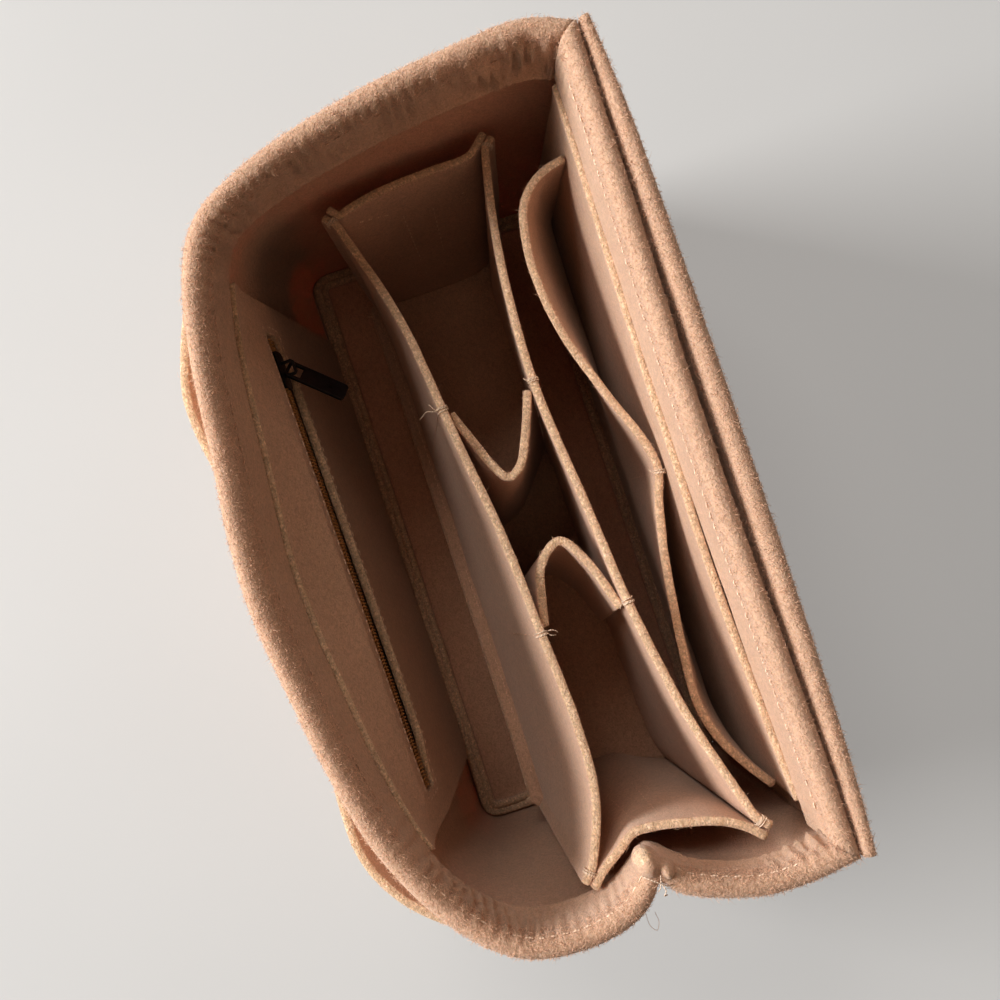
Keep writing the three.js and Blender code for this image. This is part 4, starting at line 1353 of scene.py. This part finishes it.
def stitches(name, on, away, body, material, radius, seed):
    """Short threads along a line of points; away is the direction out of the cloth."""
    r = np.random.default_rng(seed)
    away = np.broadcast_to(away, on.shape)
    far = lengths(on)
    t = np.linspace(0, 1, STITCH_STEPS)
    thick = radius * (0.55 + 0.45 * np.sin(math.pi * np.clip(t, 0.08, 0.92)) ** 0.5)
    arch = (STITCH_ARCH * np.sin(math.pi * t) ** 0.8 - STITCH_SINK)[:, None]
    parts = []
    for k in range(int((far[-1] - STITCH_LENGTH) / STITCH_PITCH)):
        start = (k + 0.5) * STITCH_PITCH + r.uniform(-STITCH_STRAY, STITCH_STRAY)
        goal = start + t * STITCH_LENGTH
        p = at_lengths(goal, far, on) + at_lengths(goal, far, away) * arch
        parts.append(tube(p + r.uniform(-0.08, 0.08, 3), thick))
    merged(name, parts, material, body)


def wall_point(wall, station, offset, z):
    """A point of a wall at a coarse station, in the frame of the part."""
    where = min(max(station * wall.factor, 0), wall.count - 1)
    i = min(int(where), wall.count - 2)
    row = wall.level(offset, z)
    return place(lerp(row[i], row[i + 1], where - i), wall.matrix)


def sew(name, wall, face, path, seed, material=thread, radius=0.22):
    """Running stitches on a wall, at (height, start, end) or between marks.

    Start and end are shares of the wall's run; a mark is a coarse station and a height.
    """
    lines = []
    for offset in (face[0], face[0] + face[1]):
        if len(path) == 3:
            lines.append(wall.line(offset, *path))
        else:
            marks = np.array(path, float)
            where = at_lengths(np.linspace(0, 1, SEAM_STEPS), [0, 1], marks)
            lines.append(np.array([wall_point(wall, a, offset, z) for a, z in where]))
    on, off = lines
    stitches(name, on, unit(off - on), body_of(wall), material, radius, seed)


sew("wrap_hem_stitches", wrap_wall, (HEM - 0.12, 0.5), (HEM_STITCH_Z, 0.015, 0.7), 3, radius=0.19)
sew(
    "end_hem_stitches", wrap_wall, (HEM - 0.4, 0.5), (END_STITCH_Z, 0.7, 0.985), 4,
    pale_thread, 0.25,
)
sew("wrap_outer_stitches", wrap_wall, OUTSIDE, (HEM_STITCH_Z, 0.01, 0.99), 5)
sew(
    "front_hem_stitches", front_wall, (HEM - 0.02, 0.5), (FRONT_STITCH_Z, 0.03, 0.97), 7,
    pale_thread, 0.27,
)
sew("slip_outer_stitches", slip_wall, OUTSIDE, (FRONT_STITCH_Z, 0.02, 0.98), 11)


# ---------------------------------------------------------------- zip
TAPE_Y = FELT + FIT
COIL_Y = TAPE_Y - FIT - COIL_THICK
TAPE_X = SLOT_X + FELT / 2
SLIT = ZIP_SLIT / 2
COIL_PITCH, COIL_WIRE, LOOP_STEPS = 1.25, 0.3, 14
COIL_OVERLAP, LOOP_EXTRA, LOOP_DEPTH, LOOP_SINK = 0.45, 0.2, 0.72, 0.7
WELD_DISTANCE, BEVEL_STEPS, BEVEL_ANGLE = 0.00002, 3, 0.6


def zip_tape_piece(side, sign):
    xs = np.linspace(-TAPE_X, TAPE_X, 180)
    rows = np.linspace(SLIT + 0.5, ZIP_TAPE_WIDTH - 0.2, 12)
    zs = sign * np.concatenate([[SLIT, SLIT + 0.15], rows, [ZIP_TAPE_WIDTH]])
    x, z = np.meshgrid(xs, zs, indexing="ij")
    base = np.stack([x, 0 * x, z], axis=-1)
    block = slab(base, 1, ZIP_TAPE_THICK, TAPE_Y + 0.05 * wander(base, 5, 81))
    obj = block_object("zip_tape_%s_cloth" % side, place(block, zip_frame), [zip_tape] * 2)
    dress(
        obj, "tub", "zip_tape", "zip_tape_" + side, flat=(0.173, 0.01), held="stretched",
        rests_on=["zip_panel_cloth"], area=0.00165,
    )


def zip_coil_piece(side, sign):
    """A flattened spiral of monofilament, its loops meeting those of the other side."""
    turns = int((2 * SLOT_X - 2) / COIL_PITCH)
    t = np.linspace(0, turns, turns * LOOP_STEPS + 1)
    phase = 2 * math.pi * t + (0 if sign > 0 else math.pi)
    middle = SLIT + COIL_WIDTH / 2 - COIL_OVERLAP
    reach = COIL_WIDTH / 2 + LOOP_EXTRA
    z = sign * (middle - reach * np.cos(phase))
    y = COIL_Y + COIL_THICK / 2 - LOOP_SINK + LOOP_DEPTH * np.sin(phase)
    x = -SLOT_X + 1 + t * COIL_PITCH
    points, faces = tube(place(np.stack([x, y, z], axis=1), zip_frame), COIL_WIRE, 6)
    obj = add_object("zip_coil_%s_loops" % side, points, faces, [zip_coil])
    dress(obj, "tub", "zip_coil", "zip_coil_" + side)


for make in (zip_tape_piece, zip_coil_piece):
    make("upper", 1)
    make("lower", -1)


def baked(source):
    """The mesh of an object with its modifiers, without materials; the object goes."""
    graph = bpy.context.evaluated_depsgraph_get()
    mesh = bpy.data.meshes.new_from_object(source.evaluated_get(graph))
    bpy.data.objects.remove(source)
    mesh.materials.clear()
    return mesh


def softened(body, width):
    """The metal part with its edges rounded, as cast and tumbled."""
    source = linked("metal_source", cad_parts["zip_" + body].data.copy())
    weld = source.modifiers.new("weld", "WELD")
    weld.merge_threshold = WELD_DISTANCE
    bevel = source.modifiers.new("edge", "BEVEL")
    bevel.width = width
    bevel.segments = BEVEL_STEPS
    bevel.limit_method = "ANGLE"
    bevel.angle_limit = BEVEL_ANGLE
    mesh = baked(source)
    mesh.materials.append(zip_metal)
    dress(linked("zip_%s_metal" % body, mesh), body, "zip_metal", "zip_" + body)


softened("slider", 0.0001)
softened("puller", 0.0002)


# ---------------------------------------------------------------- tacks and seams
# offset and height over the top edge of one turn of thread
TACK_LOOP = [
    (-0.25, -2.0), (-0.42, -1.0), (-0.3, 0.05), (FELT / 2, 0.62), (FELT + 0.3, 0.05),
    (FELT + 0.42, -1.0), (FELT + 0.25, -2.0),
]
# name, wall, coarse station, turns, and each loose end: where it starts, then its steps
TACKS = [
    ("tack_back_a", BACK, 12.2, 3, [
        [(FELT + 0.3, -1), (0.5, 1.6, 0.6), (1.2, 3.6, -0.6), (0.3, 5.4, -1.6), (-0.6, 6.6, -1.2)],
        [(FELT + 0.3, -1), (1.6, 1.2, 0.9), (3.2, 2.0, 0.2)],
    ]),
    ("tack_back_b", BACK, 24.0, 3, [
        [(-0.3, -1), (-1.4, -1.2, 0.8), (-2.0, -2.9, 0.1)],
        [(-0.3, -1), (0.2, -1.6, 0.8), (-0.6, -3.2, 0.6), (-1.4, -3.6, -0.4)],
    ]),
    ("tack_front_a", FRONT, 23.0, 3, [[(-0.3, -1), (0.8, 0.8, 1.0), (1.6, 1.2, 0.2)]]),
    ("tack_front_b", FRONT, 11.9, 3, [[(-0.3, -1), (-0.6, 1.0, 0.9), (-1.6, 1.4, 0.1)]]),
    ("tack_corner_front_minus", FRONT, 0.75, 4, [
        [(FELT, 0), (-1.4, -1.0, 0.5), (-3.0, -1.0, -0.4)],
    ]),
    ("tack_corner_back_minus", BACK, 35.3, 3, []),
    ("tack_corner_back_plus", BACK, 0.7, 3, [[(FELT, 0), (1.2, 1.0, 0.4), (2.2, 0.8, -0.4)]]),
    ("tack_corner_front_plus", FRONT, 35.3, 3, []),
    ("tack_pocket_pair", pair_wall, 27.0, 3, [[(FELT, 0), (0.4, 1.2, 0.6), (1.6, 2.0, 0.0)]]),
]
END_PLUS_MARKS = [
    [(12.0, 92.5), (8.3, 83)], [(3.8, 81.4), (1.8, 80.3)], [(8.3, 82), (8.0, 19.4)],
    [(5.8, 80), (5.8, 31)],
]


def smooth_path(points, count):
    return spline_at(points, np.linspace(0, len(points) - 1, count))


def tack(name, wall, station, turns, tails):
    """Threads laid over the top edge of a panel, with loose ends."""
    r = np.random.default_rng(len(name) * 7 + int(station * 10))
    parts = []
    for k in range(turns):
        shift = (k - (turns - 1) / 2) * TACK_SPACING + r.uniform(-0.04, 0.04)
        lean = r.uniform(-TACK_LEAN, TACK_LEAN)
        loop = [
            wall_point(wall, station + shift + lean * (j / 6 - 0.5), offset, wall.top + rise)
            for j, (offset, rise) in enumerate(TACK_LOOP)
        ]
        parts.append(tube(smooth_path(loop, 22), TACK_THREAD, 7))
    for (offset, rise), *steps in tails:
        start = wall_point(wall, station, offset, wall.top + rise)
        path = [start] + [start + step for step in steps]
        parts.append(tube(smooth_path(path, 24), np.linspace(TACK_THREAD, 0.13, 24), 7))
    merged(name, parts, white_thread, body_of(wall))


for row in TACKS:
    tack(*row)
sew("divider_b_seam", BACK, INSIDE, [(24.0, 99), (24.0, 12)], 21)
sew("divider_a_seam", BACK, INSIDE, [(12.2, 99), (12.2, 12)], 22)
sew("pocket_pair_seam", pair_wall, INSIDE, [(27.0, 116), (26.7, 54)], 23)
for number, marks in enumerate(END_PLUS_MARKS):
    sew("end_plus_seam_%d" % (number + 1), PLUS, OUTSIDE, marks, 24 + number, pale_thread, 0.25)
sew("end_minus_seam_1", MINUS, OUTSIDE, [(9.4, 44), (9.0, 92.5)], 28)
sew("end_minus_seam_2", MINUS, OUTSIDE, [(6.2, 50), (6.5, 94)], 29)
sew("slip_side_seam_plus", slip_wall, OUTSIDE, [(0.55, 4), (0.55, 148)], 34)
sew("slip_side_seam_minus", slip_wall, OUTSIDE, [(27.45, 4), (27.45, 148)], 35)
sew("slip_foot_stitches", slip_wall, OUTSIDE, (5.0, 0.02, 0.98), 36)
middle_marks = [(17, out_foot + 3), (17, out_top - 2)]
sew("back_pocket_middle_seam", out_wall, INSIDE, middle_marks, 32, radius=0.2)
sew("back_pocket_foot_stitches", out_wall, INSIDE, (out_foot + 3, 0.01, 0.99), 33, radius=0.2)
flange_marks = [(1.5, basket_foot + FELT), (34.5, basket_foot + FELT)]
sew("flange_seam", BACK, (FELT + 1.4, 0.3), flange_marks, 30)


def zip_seam():
    """Stitches round the slot, through the panel and the tape behind it."""
    across, up = SLOT_X + 2.4, SLOT_Z + 2.6
    x, z = rounded_loop(-across, -up, across, up, SLOT_RADIUS, SLOT_RADIUS, 8, 700).T
    z = zip_z + z * math.cos(rx)
    on = np.stack([x, zip_at(x, z) - slot_lip(x, z) + 0.05, z], axis=1)
    away = unit(np.array([0.0, -1.0, 0.13]))
    stitches("zip_slot_stitches", on, away, "tub", pale_thread, 0.24, 31)


zip_seam()


# ---------------------------------------------------------------- the pinched pleat
# middle, radii and turn of the two lobes of felt
NUB_LOBES = [
    ((-114.2, 0.3, 156.4), (4.9, 4.2, 7.3), 0.3),
    ((-117.0, -4.6, 156.2), (3.4, 2.5, 6.9), 0.35),
]
TORN_MIDDLE, TORN_RADIUS = (-110.6, 1.6, 160.2), 3.4
NUB_VOXEL, NUB_SMOOTHING, NUB_ROUGHNESS = 0.0005, 3, 0.5
PLEAT_THREADS = [
    [(-116.4, 3.0, 160.8), (-118.0, 0.8, 161.6), (-119.6, -1.2, 161.6), (-121.4, -3.2, 160.8),
     (-122.0, -4.8, 159.4)],
    [(-117.4, -2.2, 162.4), (-119.4, -1.8, 161.6), (-121.4, -1.2, 160.6), (-123.0, -0.4, 158.6)],
    [(-120.6, -2.0, 161.4), (-122.4, -2.4, 161.6), (-124.2, -1.6, 160.0), (-125.0, -2.6, 158.0)],
]
LOOSE_FIBRE = [
    (-127.4, 4.4, 150.5), (-132.6, 4.9, 148.6), (-137.1, 4.5, 146.6), (-138.8, 3.1, 146.2),
    (-136.3, 1.8, 147.2), (-132.2, 2.1, 149),
]


def lobe(centre, radii, turn, nu=40, nv=28):
    """An egg of felt as closed points and faces."""
    points, faces = [], []
    for i in range(1, nv):
        a = math.pi * i / nv
        for j in range(nu):
            b = 2 * math.pi * j / nu
            points.append([math.sin(a) * math.cos(b), math.sin(a) * math.sin(b), math.cos(a)])
    top, low = len(points), len(points) + 1
    c, s = math.cos(turn), math.sin(turn)
    p = np.array(points + [[0, 0, 1], [0, 0, -1]]) * radii
    p = p @ np.array([[c, s, 0], [-s, c, 0], [0, 0, 1]]) + centre
    p += NUB_ROUGHNESS * np.stack([wander(p, 3.4, 91 + k) for k in range(3)], axis=-1)
    last = (nv - 2) * nu
    for j in range(nu):
        k = (j + 1) % nu
        faces += [(i + j, i + nu + j, i + nu + k, i + k) for i in range(0, last, nu)]
        faces += [(top, j, k), (low, last + k, last + j)]
    return p, faces


def pleat_nub():
    """The pinched hem stands in as two felt lobes, held by a tack of white thread."""
    points, faces = joined([lobe(*row) for row in NUB_LOBES])
    source = add_object("nub_source", points, faces, TUB)
    shrink = source.modifiers.new("weld", "REMESH")
    shrink.mode = "VOXEL"
    shrink.voxel_size = NUB_VOXEL
    source.modifiers.new("soften", "SMOOTH").iterations = NUB_SMOOTHING
    mesh = baked(source)
    mesh.materials.append(tub_felt)
    mesh.materials.append(tub_raw)
    middles = np.empty(len(mesh.polygons) * 3)
    mesh.polygons.foreach_get("center", middles)
    away = np.linalg.norm(middles.reshape(-1, 3) / MM - TORN_MIDDLE, axis=1)
    mesh.polygons.foreach_set("material_index", (away < TORN_RADIUS).astype(int))
    mesh.polygons.foreach_set("use_smooth", np.full(len(mesh.polygons), True))
    dress(linked("pleat_nub", mesh), "tub", "tub_felt")
    threads = [tube(smooth_path(path, 26), 0.18, 7) for path in PLEAT_THREADS]
    merged("pleat_tack", threads, white_thread, "tub")


pleat_nub()


# ---------------------------------------------------------------- loose fibres
# name, block, rows round the crest, number, shortest and longest, thickness
FIBRES = [
    ("rim_fibres", wrap_block, (67, 81), 15000, (0.6, 1.6), 0.075),
    ("front_fibres", front_block, (67, 81), 4500, (0.6, 1.7), 0.085),
    ("slip_fibres", slip_block, (66, 80), 8500, (0.6, 1.6), 0.075),
]
FIBRE_LIFT = 0.95
# the corners of one fibre: a triangle at its root, another halfway, and its tip
FIBRE_QUADS = np.array([(0, 1, 4, 3), (1, 2, 5, 4), (2, 0, 3, 5)])
FIBRE_TRIANGLES = np.array([(3, 4, 6), (4, 5, 6), (5, 3, 6), (2, 1, 0)])


def fibres(name, root, out, body, length, thick, seed):
    """Short loose fibres that stand out of the felt at these roots."""
    r = np.random.default_rng(seed)
    n = len(root)
    side = r.normal(size=(n, 3))
    side = unit(side - out * np.sum(side * out, axis=1, keepdims=True))
    size = r.uniform(*length, n) * r.choice([0.6, 1.0, 1.5], n, p=[0.5, 0.38, 0.12])
    size = size[:, None]
    turn = r.uniform(-1, 1, (n, 3)) * 0.5
    rise = FIBRE_LIFT * r.uniform(0.35, 1.0, n)[:, None]
    middle = root + (out * rise + side * 0.6) * size * 0.5
    tip = root + (out * rise * 0.8 + side + turn) * size
    a = np.cross(side, out)
    corners = []
    for centre, width in ((root - out * 0.12, thick), (middle, thick * 0.75)):
        for angle in 2 * math.pi / 3 * np.arange(3):
            corners.append(centre + (a * math.cos(angle) + out * math.sin(angle)) * width)
    points = np.stack(corners + [tip], axis=1).reshape(-1, 3)
    first = np.arange(n)[:, None, None] * 7
    faces = (first + FIBRE_QUADS).reshape(-1, 4).tolist()
    faces += (first + FIBRE_TRIANGLES).reshape(-1, 3).tolist()
    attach(add_object(name, points, faces, [fibre_felt_painted_glow]), body)


def skin_spots(block, rows, count, seed):
    """Random places on the outer layer of a block, with the directions out of it."""
    r = np.random.default_rng(seed)
    i_at = r.uniform(0, len(block) - 1 - 1e-3, count)
    j_at = r.uniform(rows[0], rows[1] - 1e-3, count)
    i, j = i_at.astype(int), j_at.astype(int)
    fi, fj = (i_at - i)[:, None], (j_at - j)[:, None]
    face = block[:, :, 0]
    near, far = face[i, j], face[i, j + 1]
    p = lerp(lerp(near, face[i + 1, j], fi), lerp(far, face[i + 1, j + 1], fi), fj)
    n = unit(np.cross(face[i + 1, j] - near, far - near))
    n *= np.sign(np.sum((p - block[i, j, MIDDLE]) * n, axis=1, keepdims=True) + 1e-9)
    return p, n


def edge_spots(block, count, seed):
    """Random places along the top cut edge of a block."""
    r = np.random.default_rng(seed)
    i_at = r.uniform(0, len(block) - 1 - 1e-3, count)
    i = i_at.astype(int)
    w = r.choice([0, 1, 2, 4, 5, 6], count, p=[0.3, 0.12, 0.08, 0.08, 0.12, 0.3])

    def at(row, across):
        return lerp(block[i, row, across], block[i + 1, row, across], (i_at - i)[:, None])

    p = at(-1, w)
    out = unit(p - at(-1, MIDDLE), 0.5)
    return p, unit(unit(p - at(-3, w)) * 0.6 + out)


for number, (name, block, rows, amount, length, thick) in enumerate(FIBRES):
    spots = skin_spots(block, rows, amount, 101 + number)
    fibres(name, *spots, "tub", length, thick, 1 + number)
merged("loose_fibre", [tube(smooth_path(LOOSE_FIBRE, 40), 0.07, 5)], fibre_felt_painted_glow, "tub")
for number, (block, body, amount) in enumerate(EDGES):
    spots = edge_spots(block, amount, 110 + number)
    fibres("edge_fibres_%02d" % number, *spots, body, (0.4, 1.3), 0.07, 10 + number)
